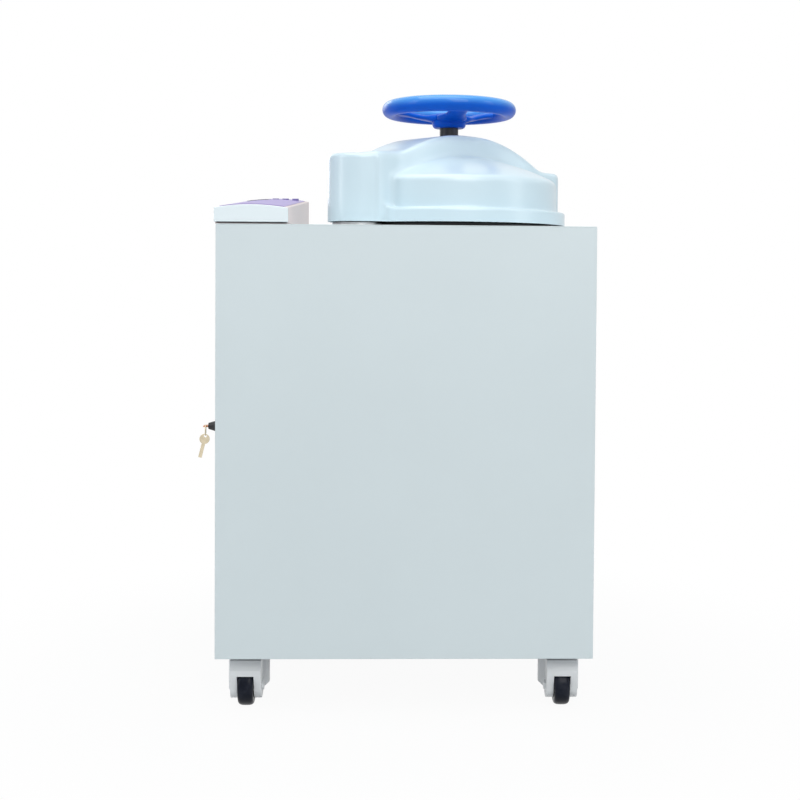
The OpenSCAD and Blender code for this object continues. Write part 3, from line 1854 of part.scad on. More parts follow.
module caster_fork(sx, sy) {
  color("whitesmoke")
    translate([sx * caster_x, sy * caster_y, 0])
      difference() {
        union() {
          difference() {
            union() {
              caster_cup();
              fork_slice(0, fork_half);
            }
            difference() {
              fork_slice(fork_t, fork_half - fork_t);
              on_axle(-fork_half, -window_half, hub_boss_r);
              on_axle(window_half, fork_half, hub_boss_r);
            }
            on_axle(-window_half, window_half, wheel_r + wheel_gap);
            translate([0, 0, cup_low])
              cylinder(r = king_r + king_head_over + slip, h = crown_top - crown_t - cup_low);
          }
          on_axle(-fork_half, fork_half, axle_r);
          on_axle(-fork_half - axle_nut_t, -fork_half, axle_nut_r, 6);
          on_axle(fork_half, fork_half + axle_nut_t, axle_nut_r, 6);
        }
        translate([0, 0, crown_top - crown_t - cut])
          cylinder(r = king_r + run, h = crown_t + 2 * cut);
      }
}

module caster_wheel(sx, sy) {
  hub_half = window_half - slip;
  half = tread_w / 2;
  color("black")
    translate([sx * caster_x, sy * caster_y - caster_trail, wheel_r])
      rotate([0, 90, 0])
        rotate_extrude()
          polygon([
            [axle_r + run, -hub_half],
            [axle_r + hub_lip, -hub_half],
            [axle_r + hub_face, -half + tread_round],
            [wheel_r * tread_face_share, -half + tread_round],
            [wheel_r * tread_root_share, -half],
            [wheel_r - tread_round, -half],
            [wheel_r - tread_crown, -half + tread_round],
            [wheel_r, -tread_w / 4],
            [wheel_r, tread_w / 4],
            [wheel_r - tread_crown, half - tread_round],
            [wheel_r - tread_round, half],
            [wheel_r * tread_root_share, half],
            [wheel_r * tread_face_share, half - tread_round],
            [axle_r + hub_face, half - tread_round],
            [axle_r + hub_lip, hub_half],
            [axle_r + run, hub_half]
          ]);
}

chassis_frame();
front_panel();
right_panel();
rear_panel();
deck_panel();
caster_plates();
chamber();
chamber_flange();
lid_gasket();
insulation_jacket();
support_skirt();
heating_element();
level_probe();
chamber_rack();
lower_basket();
lower_basket_bail();
upper_basket();
upper_basket_bail();
drain_pipe();
drain_valve();
drain_lever();
exhaust_pipe();
exhaust_valve();
safety_valve();
safety_lever();
condensate_bottle();
control_board();
cable_gland();
switch_frame();
switch_rocker();
pivot_post();
catch_stud();
console_housing();
console_front_cap();
console_membrane();
console_display();
key(-1);  // key_left
key(0);  // key_middle
key(1);  // key_right
service_door();
door_hinge_leaves();
frame_hinge_leaves();
lock_barrel();
lock_plug_and_key();
key_ring_and_spare();
lid_cover();
lid_beam();
spindle_nut();
pressure_lid();
thrust_ring();
spindle();
handwheel();
caster_fork(-1, -1);  // caster_fork_front_left
caster_fork(1, -1);  // caster_fork_front_right
caster_fork(-1, 1);  // caster_fork_rear_left
caster_fork(1, 1);  // caster_fork_rear_right
caster_wheel(-1, -1);  // caster_wheel_front_left
caster_wheel(1, -1);  // caster_wheel_front_right
caster_wheel(-1, 1);  // caster_wheel_rear_left
caster_wheel(1, 1);  // caster_wheel_rear_right
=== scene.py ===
# %% [markdown]
# # A vertical steam autoclave, dressed for its portrait
# The imported model already holds every sheet, hinge and wheel at its real
# place. This lesson gives it its looks: a camera first, then the finishes,
# then the pieces whose curves deserve a finer surface than the solids give,
# and last a white studio. Lengths are in metres, the floor is z = 0 and the
# front of the cabinet faces -Y. Where a form is easier to follow in
# millimetres, it is worked out in them and scaled by MM at the end.

# %% Load the imported model and bake its placements into the meshes
import json
from math import cos, pi, radians, sin

import bmesh
import bpy
import numpy as np
from mathutils import Matrix, Vector


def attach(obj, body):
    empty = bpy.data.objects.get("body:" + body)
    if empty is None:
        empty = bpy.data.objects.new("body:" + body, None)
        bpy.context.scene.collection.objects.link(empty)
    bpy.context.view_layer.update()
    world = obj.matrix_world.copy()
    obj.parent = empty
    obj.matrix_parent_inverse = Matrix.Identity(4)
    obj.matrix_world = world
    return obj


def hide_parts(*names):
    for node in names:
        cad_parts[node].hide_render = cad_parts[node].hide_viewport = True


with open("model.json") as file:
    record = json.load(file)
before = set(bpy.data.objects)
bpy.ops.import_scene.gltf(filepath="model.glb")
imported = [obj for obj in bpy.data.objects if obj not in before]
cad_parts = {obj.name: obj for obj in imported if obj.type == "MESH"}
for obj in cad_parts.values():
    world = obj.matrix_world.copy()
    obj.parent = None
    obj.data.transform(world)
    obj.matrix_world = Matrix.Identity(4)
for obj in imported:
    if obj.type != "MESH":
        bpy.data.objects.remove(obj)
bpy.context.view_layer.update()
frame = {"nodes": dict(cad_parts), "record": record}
nodes = frame["nodes"]
BODY_OF = {n: b for b, names in frame["record"]["behaviour"]["bodies"].items() for n in names}
MM = 0.001

# %% [markdown]
# ## The camera
# The portrait was taken from about two metres in front of the cabinet, with
# the lens a hand's breadth below the deck, so the lid is seen edge-on and the
# handwheel from just below. The camera tilts down very little and its frame
# is shifted down instead, which is how a photographer keeps a tall box from
# tapering.

# %% Camera
PORTRAIT_PX = 800
LENS_PX = 1319.6
SHIFT_PX = (-38.9, -86.5)
SENSOR = 36.0
STAND = (-8.9 * MM, -2282.6 * MM, 683.9 * MM)
PAN, TILT, ROLL = radians(-1.649), radians(1.582), radians(0.398)

camera_data = bpy.data.cameras.new("portrait_camera")
camera_data.sensor_width = SENSOR
camera_data.lens = SENSOR * LENS_PX / PORTRAIT_PX
camera_data.shift_x, camera_data.shift_y = (shift / PORTRAIT_PX for shift in SHIFT_PX)
camera_data.clip_end = 60
camera = bpy.data.objects.new("portrait_camera", camera_data)
camera.rotation_mode = "QUATERNION"
aim = Matrix.Rotation(PAN, 4, "Z") @ Matrix.Rotation(pi / 2 - TILT, 4, "X")
camera.matrix_world = Matrix.Translation(STAND) @ aim @ Matrix.Rotation(ROLL, 4, "Z")
bpy.context.scene.collection.objects.link(camera)
bpy.context.scene.camera = camera
print("lens:", round(camera_data.lens, 1), "mm")

# %% [markdown]
# ## Writing shader maths as arithmetic
# A material is a graph of nodes, but most of what a graph says is
# arithmetic. `Flow` wraps one output socket and overloads the operators, so
# `0.4 + 0.1 * noise` adds the Math nodes by itself. Colours go through Mix
# nodes instead, because a Math node would turn them grey.

# %% A small class for shader arithmetic
class Flow:
    """One output socket of a node tree, usable in plain arithmetic."""

    def __init__(self, tree, socket):
        self.tree, self.socket = tree, socket

    def node(self, kind, settings=None, out=0, **inputs):
        """Adds a node, sets its settings, then its sockets, and returns one output."""
        return add_node(self.tree, kind, settings, out, **inputs)

    def maths(self, operation, a, b=0.0):
        """One Math node; a and b are numbers or flows."""
        return self.node("ShaderNodeMath", {"operation": operation}, i0=a, i1=b)

    def __add__(self, other):
        return self.maths("ADD", self, other)

    def __sub__(self, other):
        return self.maths("SUBTRACT", self, other)

    def __rsub__(self, other):
        return self.maths("SUBTRACT", other, self)

    def __mul__(self, other):
        return self.maths("MULTIPLY", self, other)

    __radd__ = __add__
    __rmul__ = __mul__

    def ramp(self, low, high):
        """0 below low, 1 above high, smooth between."""
        return self.node("ShaderNodeMapRange", {"interpolation_type": "SMOOTHSTEP"},
                         Value=self, i1=low, i2=high)

    def blend(self, colour_a, colour_b):
        """Colour a where this is 0, colour b where it is 1."""
        return self.node("ShaderNodeMix", {"data_type": "RGBA"}, out=2,
                         i0=self, i6=colour_a, i7=colour_b)


def rgba(colour):
    """Three numbers get an alpha of 1."""
    return (*colour, 1.0) if len(colour) == 3 else tuple(colour)


def add_node(tree, kind, settings=None, out=0, **inputs):
    """A node of a kind; an input named i3 is the fourth socket, any other is found by name."""
    new = tree.nodes.new(kind)
    for name, value in (settings or {}).items():
        setattr(new, name, value)
    for name, value in inputs.items():
        key = int(name[1:]) if name[0] == "i" and name[1:].isdigit() else name.replace("_", " ")
        socket = new.inputs[key]
        if isinstance(value, Flow):
            tree.links.new(value.socket, socket)
        elif socket.type == "RGBA":
            socket.default_value = rgba(value)
        else:
            socket.default_value = value
    return Flow(tree, new.outputs[out]) if len(new.outputs) else None


# %% [markdown]
# ## What every finish has in common
# Each finish starts from the place on the piece in metres, so a grain keeps
# its real size. Cloudy noise shifts the colour by a few hundredths, a finer
# noise shifts the roughness, and a bump gives the surface its texture.

# %% The common recipe
FINISHES = {}
DUST, DUST_TOP = (0.42, 0.40, 0.37), 0.12
STREAK_SCALE, PLAIN_SCALE = 4.0, 900.0


def finish(name, colour, rough, metal=0.0, cloud=0.02, cloud_size=0.12, grain=0.0006,
           bump=0.0, streak=None, coat=0.0, specular=0.5, rough_vary=0.05, dust=0.0,
           translucent=0.0, coat_rough=0.06):
    """A named material: a base colour with cloudy variation, a roughness with variation, a bump
    of a given depth and grain size in metres, streaks along an axis, dust near the floor."""
    material = bpy.data.materials.new(name)
    material.use_nodes = True
    tree = material.node_tree
    tree.nodes.clear()
    place = add_node(tree, "ShaderNodeTexCoord", out=3)
    cloudy = place.node("ShaderNodeTexNoise", Vector=place, Scale=1 / cloud_size, Detail=4.0)
    fine = place.node("ShaderNodeTexNoise", Vector=place, Scale=1 / grain, Detail=2.0)
    light = tuple(min(1.0, c * (1 + cloud)) for c in colour)
    dark = tuple(c * (1 - cloud) for c in colour)
    tone = cloudy.ramp(0.3, 0.7).blend(dark, light)
    roughness = (rough - rough_vary / 2) + cloudy * rough_vary
    height = fine
    if streak:
        stretch = tuple(STREAK_SCALE if axis == streak else PLAIN_SCALE for axis in "xyz")
        turned = place.node("ShaderNodeMapping", {"vector_type": "POINT"},
                            Vector=place, Scale=stretch)
        lines = place.node("ShaderNodeTexNoise", Vector=turned, Scale=1.0, Detail=3.0)
        tone = (lines.ramp(0.35, 0.65) * 0.5).blend(tone, tuple(c * 0.86 for c in colour))
        roughness = roughness + (lines - 0.5) * 0.18
        height = lines
    if dust:
        low_down = place.node("ShaderNodeSeparateXYZ", out=2, Vector=place)
        settled = (1 - low_down.ramp(0.0, DUST_TOP)) * cloudy.ramp(0.4, 0.75) * dust
        tone = settled.blend(tone, DUST)
    surface = dict(Base_Color=tone, Roughness=roughness, Metallic=metal,
                   Coat_Weight=coat, Specular_IOR_Level=specular, Coat_Roughness=coat_rough)
    if translucent:
        surface.update(Transmission_Weight=translucent, IOR=1.45)
    if bump:
        surface["Normal"] = place.node("ShaderNodeBump", Height=height, Distance=bump,
                                       Strength=0.6)
    shader = place.node("ShaderNodeBsdfPrincipled", **surface)
    place.node("ShaderNodeOutputMaterial", Surface=shader)
    FINISHES[name] = material


# %% [markdown]
# ## Paints and plastics
# The cabinet is folded steel with a satin powder coat. Powder flows out
# almost flat but keeps a faint orange peel, which the bump gives. The lid
# cover and the console are glossy mouldings, so they get a thin clear coat
# and nearly no texture.

# %% Painted and moulded finishes
finish("cabinet_powder_coat", (0.70, 0.78, 0.802), 0.42, cloud=0.012, cloud_size=0.35,
       grain=0.0011, bump=0.00003, specular=0.45)
finish("deck_powder_coat", (0.72, 0.80, 0.82), 0.36, cloud=0.012, cloud_size=0.3,
       grain=0.0011, bump=0.00003)
finish("chassis_enamel", (0.40, 0.42, 0.44), 0.5, cloud=0.05, grain=0.0014,
       bump=0.00006, dust=0.3)
finish("glossy_lid_plastic", (0.635, 0.785, 0.86), 0.30, cloud=0.012, cloud_size=0.2,
       grain=0.004, bump=0.00002, coat=0.5, coat_rough=0.26, rough_vary=0.04)
finish("blue_wheel_plastic", (0.003, 0.105, 0.62), 0.34, cloud=0.04, cloud_size=0.05,
       grain=0.003, bump=0.00002, specular=0.12, rough_vary=0.06)
finish("console_plastic", (0.73, 0.60, 0.59), 0.3, cloud=0.012, grain=0.0008,
       bump=0.00002, coat=0.2)
finish("console_cap_plastic", (0.86, 0.95, 0.985), 0.24, cloud=0.01, grain=0.0008,
       bump=0.00002, coat=0.3)
finish("violet_overlay", (0.34, 0.27, 0.60), 0.33, cloud=0.03, grain=0.0007, bump=0.00002)
finish("display_window", (0.012, 0.012, 0.05), 0.12, cloud=0.05, grain=0.002, coat=0.5)
finish("key_cap_plastic", (0.26, 0.22, 0.46), 0.35, cloud=0.05, grain=0.0006, bump=0.00003)
finish("black_moulding", (0.022, 0.022, 0.025), 0.42, cloud=0.1, grain=0.0006, bump=0.00005)
finish("red_vinyl", (0.50, 0.02, 0.02), 0.35, cloud=0.04, grain=0.0008, bump=0.00003)
finish("white_caster_paint", (0.93, 0.95, 0.96), 0.34, cloud=0.02, cloud_size=0.05,
       grain=0.001, bump=0.00004, dust=0.12)
finish("beam_paint", (0.22, 0.25, 0.27), 0.45, cloud=0.06, grain=0.0012, bump=0.00006)
finish("board_mask", (0.01, 0.12, 0.05), 0.3, cloud=0.1, cloud_size=0.01, grain=0.002)
finish("milky_bottle", (0.78, 0.81, 0.80), 0.35, cloud=0.02, grain=0.002,
       bump=0.00003, translucent=0.25)

# %% [markdown]
# Hands work on the upper half of the wheel's rim: it is polished, while its
# underside stays as it came from the mould. Its blue is also painted paler
# there, as painted light from above. So the clear coat and the painted paler
# blue fade in with the height.

# %% A polish and painted light that grow with height
def coat_and_painted_light_above(name, low, high, weight, painted_light_colour):
    """Between two heights the coat weight rises from 0 and the colour turns paler: painted light
    from above.
    """
    tree = FINISHES[name].node_tree
    shader = next(n for n in tree.nodes if n.bl_idname == "ShaderNodeBsdfPrincipled")
    place = add_node(tree, "ShaderNodeTexCoord", out=3)
    rise = place.node("ShaderNodeSeparateXYZ", out=2, Vector=place).ramp(low, high)
    tree.links.new((rise * weight).socket, shader.inputs["Coat Weight"])
    deep = Flow(tree, shader.inputs["Base Color"].links[0].from_socket)
    tree.links.new(rise.blend(deep, painted_light_colour).socket, shader.inputs["Base Color"])


# The paler blue on the rim's top is painted light from above.
coat_and_painted_light_above("blue_wheel_plastic", low=0.966, high=0.985, weight=0.9, painted_light_colour=(0.08, 0.38, 0.84))

# %% [markdown]
# ## Metals, rubber and wool
# Sheet and pipe are drawn or brushed along their length, so their finish is
# a noise stretched along one axis. Rubber is nearly black with a dull bloom,
# and the wool jacket is coarse and matte.

# %% Metals, rubber and wool
finish("brushed_stainless", (0.60, 0.60, 0.59), 0.28, metal=1.0, streak="x", bump=0.00002)
finish("zinc_plate", (0.55, 0.56, 0.57), 0.36, metal=1.0, cloud=0.10, cloud_size=0.012,
       grain=0.0006, bump=0.00004)
finish("drawn_copper", (0.72, 0.36, 0.22), 0.3, metal=1.0, cloud=0.12, cloud_size=0.03,
       grain=0.001, bump=0.00003)
finish("turned_brass", (0.70, 0.50, 0.22), 0.28, metal=1.0, cloud=0.08, cloud_size=0.02,
       grain=0.0008, bump=0.00003)
finish("cast_bronze", (0.46, 0.31, 0.13), 0.42, metal=1.0, cloud=0.12, cloud_size=0.01,
       grain=0.001, bump=0.00008)
finish("blackened_steel", (0.035, 0.035, 0.038), 0.38, metal=0.6, cloud=0.1, cloud_size=0.02,
       grain=0.001, bump=0.00004)
finish("nickel_key", (0.72, 0.63, 0.46), 0.26, metal=1.0, cloud=0.08, cloud_size=0.006,
       grain=0.0006, bump=0.00003)
# The tread's faint blue tint is a painted sheen; the rubber itself is black.
finish("black_tread", (0.003, 0.006, 0.016), 0.30, specular=0.16, cloud=0.2, cloud_size=0.02,
       grain=0.0008, bump=0.00005, dust=0.05)
finish("grey_wheel_centre", (0.16, 0.18, 0.21), 0.38, cloud=0.08, cloud_size=0.02,
       grain=0.0008, bump=0.00004)
finish("copper_key", (0.78, 0.36, 0.20), 0.30, metal=1.0, cloud=0.08, cloud_size=0.006,
       grain=0.0006, bump=0.00003)
finish("cap_sleeve", (0.03, 0.06, 0.16), 0.35, cloud=0.06, cloud_size=0.01,
       grain=0.001, bump=0.00002)
finish("black_silicone", (0.014, 0.014, 0.016), 0.46, cloud=0.1, grain=0.001, bump=0.00005)
finish("wool_blanket", (0.55, 0.44, 0.20), 0.9, cloud=0.2, cloud_size=0.015,
       grain=0.003, bump=0.0008)
print("finishes:", len(FINISHES))

# %% [markdown]
# ## Printed marks
# The overlay on the console carries a thin pale border, a ring round each
# key and three small lamps beside the display, and the mains rocker has the
# usual line and ring. All of them are distances: a mark shows where the
# distance to its middle line is under half the line's width.

# %% Marks from distances
def band(flow, middle, half):
    """1 where the value lies within half of the middle, 0 elsewhere, with a soft edge."""
    off = flow.maths("ABSOLUTE", flow - middle)
    return 1 - off.ramp(half * 0.7, half * 1.3)


def both(a, b):
    return a * b


def either(a, b):
    return a.maths("MAXIMUM", a, b)


def flat_distance(place, centre, keep):
    """Distance to a point, measured only along the axes that keep marks with 1."""
    flat = place.node("ShaderNodeVectorMath", {"operation": "MULTIPLY"}, i0=place, i1=keep)
    target = tuple(c * k for c, k in zip(centre, keep))
    return place.node("ShaderNodeVectorMath", {"operation": "DISTANCE"}, out=1,
                      i0=flat, i1=target)


def print_marks(material_name, marks, ink):
    """Lays an ink over a finish's base colour where marks(place) is 1."""
    tree = FINISHES[material_name].node_tree
    shader = next(n for n in tree.nodes if n.bl_idname == "ShaderNodeBsdfPrincipled")
    socket = shader.inputs["Base Color"]
    paint_below = Flow(tree, socket.links[0].from_socket)
    place = add_node(tree, "ShaderNodeTexCoord", out=3)
    tree.links.new(marks(place).blend(paint_below, ink).socket, socket)


HALF_LINE = 0.0004
KEY_PITCH, KEY_RING = 0.018, 0.0079
KEYS = [(-0.2216 + KEY_PITCH * k, 0.1519, 0) for k in (-1, 0, 1)]
LAMPS = [(-0.2396 + KEY_PITCH * k, 0.1290, 0) for k in range(3)]
LAMP_LOW, LAMP_HIGH = 0.0012, 0.0016
BORDER_AT, BORDER_HALF, BORDER_REACH = (-0.241, 0.1345), (0.0455, 0.0350), (0.0465, 0.0355)
ROCKER_X, DASH_Z, DASH_HALF, RING_Z, RING_RADIUS = -0.150, 0.1455, 0.0020, 0.1335, 0.0019
RING_HALF_LINE = 0.00035


def overlay_marks(place):
    """Rings round the keys, a border round display and keys, and three lamps."""
    total = None
    for key in KEYS:
        ring = band(flat_distance(place, key, (1, 1, 0)), KEY_RING, HALF_LINE)
        total = ring if total is None else either(total, ring)
    x = place.node("ShaderNodeSeparateXYZ", out=0, Vector=place)
    y = place.node("ShaderNodeSeparateXYZ", out=1, Vector=place)
    across, along = (band(v, BORDER_AT[i], BORDER_REACH[i]) for i, v in enumerate((x, y)))
    sides, ends = (band(v.maths("ABSOLUTE", v - BORDER_AT[i]), BORDER_HALF[i], HALF_LINE)
                   for i, v in enumerate((x, y)))
    total = either(total, either(both(sides, along), both(ends, across)))
    for centre in LAMPS:
        lamp = flat_distance(place, centre, (1, 1, 0))
        total = either(total, 1 - lamp.ramp(LAMP_LOW, LAMP_HIGH))
    return total


def rocker_marks(place):
    """A line over a ring, as on every mains switch."""
    x = place.node("ShaderNodeSeparateXYZ", out=0, Vector=place)
    z = place.node("ShaderNodeSeparateXYZ", out=2, Vector=place)
    line = both(band(x, ROCKER_X, HALF_LINE), band(z, DASH_Z, DASH_HALF))
    middle = flat_distance(place, (ROCKER_X, 0, RING_Z), (1, 0, 1))
    return either(line, band(middle, RING_RADIUS, RING_HALF_LINE))


finish("red_rocker", (0.50, 0.02, 0.02), 0.3, cloud=0.04, grain=0.0008, bump=0.00002, coat=0.2)
print_marks("violet_overlay", overlay_marks, (0.86, 0.86, 0.92))
print_marks("red_rocker", rocker_marks, (0.86, 0.86, 0.86))
print("marks printed on the overlay and the rocker")

# %% [markdown]
# ## Dressing the solids that stay
# Most hidden pieces are already right as solids and only need their finish.
# One table says which finish each node wears.

# %% A finish for every node
WEARS = {
    "cabinet_powder_coat": "front_panel right_panel rear_panel service_door",
    "deck_powder_coat": "deck_panel",
    "chassis_enamel": "chassis_frame support_skirt",
    "zinc_plate": "caster_plates pivot_post catch_stud door_hinge_leaves frame_hinge_leaves",
    "brushed_stainless": "chamber chamber_rack lower_basket lower_basket_bail upper_basket "
                         "upper_basket_bail pressure_lid heating_element level_probe",
    "blackened_steel": "chamber_flange spindle",
    "black_silicone": "lid_gasket",
    "wool_blanket": "insulation_jacket",
    "drawn_copper": "drain_pipe exhaust_pipe",
    "turned_brass": "drain_valve exhaust_valve safety_valve",
    "red_vinyl": "drain_lever safety_lever",
    "red_rocker": "switch_rocker",
    "milky_bottle": "condensate_bottle",
    "board_mask": "control_board",
    "black_moulding": "cable_gland switch_frame lock_barrel lock_plug_and_key",
    "console_plastic": "console_housing",
    "console_cap_plastic": "console_front_cap",
    "violet_overlay": "console_membrane",
    "display_window": "console_display",
    "key_cap_plastic": "key_left key_middle key_right",
    "nickel_key": "key_ring_and_spare",
    "glossy_lid_plastic": "lid_cover",
    "beam_paint": "lid_beam",
    "cast_bronze": "spindle_nut thrust_ring",
    "blue_wheel_plastic": "handwheel",
}
CORNERS = [f"{end}_{side}" for end in ("front", "rear") for side in ("left", "right")]
WEARS["white_caster_paint"] = " ".join("caster_fork_" + c for c in CORNERS)
WEARS["black_tread"] = " ".join("caster_wheel_" + c for c in CORNERS)
for name, members in WEARS.items():
    for member in members.split():
        mesh = nodes[member].data
        mesh.materials.clear()
        mesh.materials.append(FINISHES[name])
dressed = {m for members in WEARS.values() for m in members.split()}
print("dressed:", len(dressed), "bare:", sorted(set(nodes) - dressed))

# %% [markdown]
# ## Meshes from arrays
# Every new surface is a grid: two parameters run along its rows and columns
# and numpy works out all the points at once. `grid_faces` joins neighbouring
# points with quads. A grid then closes in one of two ways: `seam` joins its
# last row to its first, as on a ring, and `caps` puts a flat face on each end.

# %% From a grid of points to an object
def grid_faces(rows, columns, wrap, start=0):
    """Quads between neighbouring rows and columns; with wrap the last column meets the first."""
    last = columns if wrap else columns - 1
    r, c = np.meshgrid(np.arange(rows - 1), np.arange(last), indexing="ij")
    a = r * columns + c
    b = r * columns + (c + 1) % columns
    return (np.stack([a, b, b + columns, a + columns], -1).reshape(-1, 4) + start).tolist()


def seam(rows, columns, start=0):
    """Quads between the last row and the first."""
    last = start + (rows - 1) * columns
    return [(last + i, last + (i + 1) % columns, start + (i + 1) % columns, start + i)
            for i in range(columns)]


def caps(rows, columns, start=0):
    """One face on the first row and one on the last."""
    last = start + (rows - 1) * columns
    return [tuple(start + i for i in range(columns))[::-1], tuple(last + i for i in range(columns))]


def make_piece(name, points, faces, material, body, node=None, sharp=None):
    """An object from points and faces, smooth shaded, riding on a body."""
    mesh = bpy.data.meshes.new(name)
    mesh.from_pydata(np.asarray(points).reshape(-1, 3).tolist(), [], faces)
    mesh.shade_smooth()
    if sharp:
        mesh.set_sharp_from_angle(angle=radians(sharp))
    mesh.materials.append(FINISHES[material])
    piece = bpy.data.objects.new(name, mesh)
    bpy.context.scene.collection.objects.link(piece)
    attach(piece, body)
    if node:
        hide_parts(*([node] if isinstance(node, str) else node))
    print(name + ":", len(mesh.vertices), "points,", len(mesh.polygons), "faces")
    return piece


def face_outward(piece):
    """Turns every face of a closed piece outward."""
    grid = bmesh.new()
    grid.from_mesh(piece.data)
    bmesh.ops.recalc_face_normals(grid, faces=grid.faces)
    grid.to_mesh(piece.data)
    grid.free()


def paint(piece, material, chosen):
    """Gives a finish to the faces whose middles, in metres, satisfy a rule on x, y and z."""
    mesh = piece.data
    middles = np.empty(3 * len(mesh.polygons))
    mesh.polygons.foreach_get("center", middles)
    picked = chosen(*middles.reshape(-1, 3).T)
    index = np.empty(len(mesh.polygons), dtype=np.int32)
    mesh.polygons.foreach_get("material_index", index)
    index[picked] = len(mesh.materials)
    mesh.materials.append(FINISHES[material])
    mesh.polygons.foreach_set("material_index", index)
    print(piece.name + ":", int(picked.sum()), "faces in", material)


# %% [markdown]
# ## Edges that catch the light
# A folded panel has no knife edge: the fold has a radius of about a
# millimetre, and that thin line is what the eye reads as sheet metal. The
# solids are loose triangles, so a copy is joined first, its flat faces are
# made whole, and a Bevel modifier rounds what is left. A large face round a
# hole is then cut into sound triangles again, so that nothing closes the hole.

# %% Softened copies of solids
JOIN, FLAT, FOLD = 3e-6, radians(0.6), radians(30)


def softened(node, width):
    """A joined copy of a node with rounded edges, which stands for the node."""
    grid = bmesh.new()
    grid.from_mesh(nodes[node].data)
    bmesh.ops.remove_doubles(grid, verts=grid.verts, dist=JOIN)
    bmesh.ops.dissolve_limit(grid, angle_limit=FLAT, verts=grid.verts, edges=grid.edges)
    mesh = bpy.data.meshes.new(node + "_soft")
    grid.to_mesh(mesh)
    grid.free()
    mesh.shade_smooth()
    mesh.set_sharp_from_angle(angle=FOLD)
    mesh.materials.append(nodes[node].data.materials[0])
    piece = bpy.data.objects.new(node + "_soft", mesh)
    bpy.context.scene.collection.objects.link(piece)
    edge = piece.modifiers.new("rounded_edges", "BEVEL")
    edge.width, edge.segments = width, 2
    edge.limit_method, edge.angle_limit = "ANGLE", FOLD
    edge.harden_normals = True
    piece.modifiers.new("sound_triangles", "TRIANGULATE").keep_custom_normals = True
    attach(piece, BODY_OF[node])
    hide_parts(node)
    return piece


SOFT = {0.8: "front_panel",
        1.2: "console_housing console_front_cap",
        0.3: "key_left key_middle key_right",
        0.6: "rear_panel right_panel service_door deck_panel lid_beam chassis_frame",
        0.4: "door_hinge_leaves pivot_post catch_stud switch_frame switch_rocker cable_gland "
             "drain_lever exhaust_valve spindle_nut",
        0.7: " ".join("caster_fork_" + corner for corner in CORNERS)}
for width, members in SOFT.items():
    for member in members.split():
        softened(member, width * MM)
print("softened:", sum(len(members.split()) for members in SOFT.values()), "solids")

# %% [markdown]
# The key in the lock is one solid with the plug, but only the part outside
# the lock is copper; the rest is blackened. The ring and the spare key are
# thin, so their edges are rounded by about a tenth of a millimetre. On the
# control board the stand-offs behind it are zinc plated, and of the parts on
# its face the lower ones are black mouldings and the upper ones sleeved
# capacitors.

# %% Lock, keys and control board
LOCK_FACE_X = -0.3106
BOARD_BACK_Y, BOARD_FACE_Y, CAPACITORS_Z = 0.2235, 0.2213, 0.5155

plug = softened("lock_plug_and_key", 0.15 * MM)
paint(plug, "copper_key", lambda x, y, z: x < LOCK_FACE_X)
softened("key_ring_and_spare", 0.12 * MM)
softened("lock_barrel", 0.3 * MM)
board = softened("control_board", 0.3 * MM)
paint(board, "zinc_plate", lambda x, y, z: y > BOARD_BACK_Y)
paint(board, "black_moulding", lambda x, y, z: (y < BOARD_FACE_Y) & (z < CAPACITORS_Z))
paint(board, "cap_sleeve", lambda x, y, z: (y < BOARD_FACE_Y) & (z >= CAPACITORS_Z))

# %% [markdown]
# ## The lid cover
# The cover is one large moulding: a round wall under a shallow dome, a
# broad fairing that hides the beam and the screw, and a round boss over the
# pivot post. In the mould these forms flow into each other. Such a shape is
# easiest to describe by signed distances, one formula for each form, which
# are then melted together.

# %% Distances that melt together
def melt(a, b, k):
    """The smaller of two distances, with a fillet of width k where they are nearly equal."""
    share = np.clip(0.5 + 0.5 * (b - a) / k, 0, 1)
    return b + (a - b) * share - k * share * (1 - share)


def meet(a, b, k):
    """The larger of two distances, with the edge between them rounded by k."""
    return -melt(-a, -b, k)


def smooth_step(x, low, high):
    share = np.clip((x - low) / (high - low), 0, 1)
    return share * share * (3 - 2 * share)


# %% [markdown]
# The fairing follows the beam, from the pivot post across the middle to the
# catch. Its ridge is highest over the screw, where the nut needs the room,
# and sinks towards both ends. `meet` cuts one form with another, and `melt`
# joins two forms with a fillet.

# %% The cover's own distance
DECK = 764.0
LID_X, ARM, BEAM = 72.0, 202.5, radians(42)
NOSE = 192


def crest(t):
    """Height of the fairing's ridge over the deck: a bell that falls from 159 to 110 at the
    boss, and on the other side runs out into a level nose at 107."""
    def bell(share):
        return 0.5 + 0.5 * np.cos(pi * np.minimum(1, np.abs(share)) ** 1.35)
    return np.where(t < 0, 110 + 49 * bell(t / 210.5), meet(96 + 63 * bell(t / 205.0), 107.0, 8))


def cover_distance(t, y, z):
    """Distance to the cover's skin in millimetres. t runs along the beam, y across it and z up
    from the deck. Wall meets dome, fairing meets its ridge, and the rim, the fairing and the
    boss melt into the wall."""
    r = np.hypot(t, y)
    dome = np.sqrt(r * r + (z + 268.0) ** 2) - 395.0
    body = meet(r - 185, dome, 8)
    rim = meet(r - 200, z - 30, 4)
    half = 50 + 10 * smooth_step(t, -ARM, -100) - 8 * smooth_step(t, 110, NOSE)
    wider = 20 * smooth_step(t, 30, NOSE)
    beside = np.maximum(y, -y - wider)
    nose = np.hypot(np.maximum(t - NOSE, 0), np.maximum(beside - 22, 0)) - 30
    plan = np.where(t > NOSE, nose, beside - half)
    plan = np.maximum(plan, -ARM - t)
    slope = (crest(t + 1) - crest(t - 1)) / 2
    ridge = (z - crest(t)) / np.sqrt(1 + slope ** 2)
    fairing = meet(plan, ridge, 11)
    boss = meet(np.hypot(t + ARM, y) - 50, z - 117, 9)
    return melt(melt(melt(body, rim, 5), fairing, 9), boss, 26)


# %% [markdown]
# The skin is found by shooting rays from the middle of the lid's foot: every
# ray leaves the shape exactly once. Rays at equal angles would crowd the
# points on the near walls, so they are spread by the length of the outline
# instead. The rows crowd where the edge of the rim turns, and end at the
# round hole for the screw. The lining is the same shape, three millimetres
# further in.

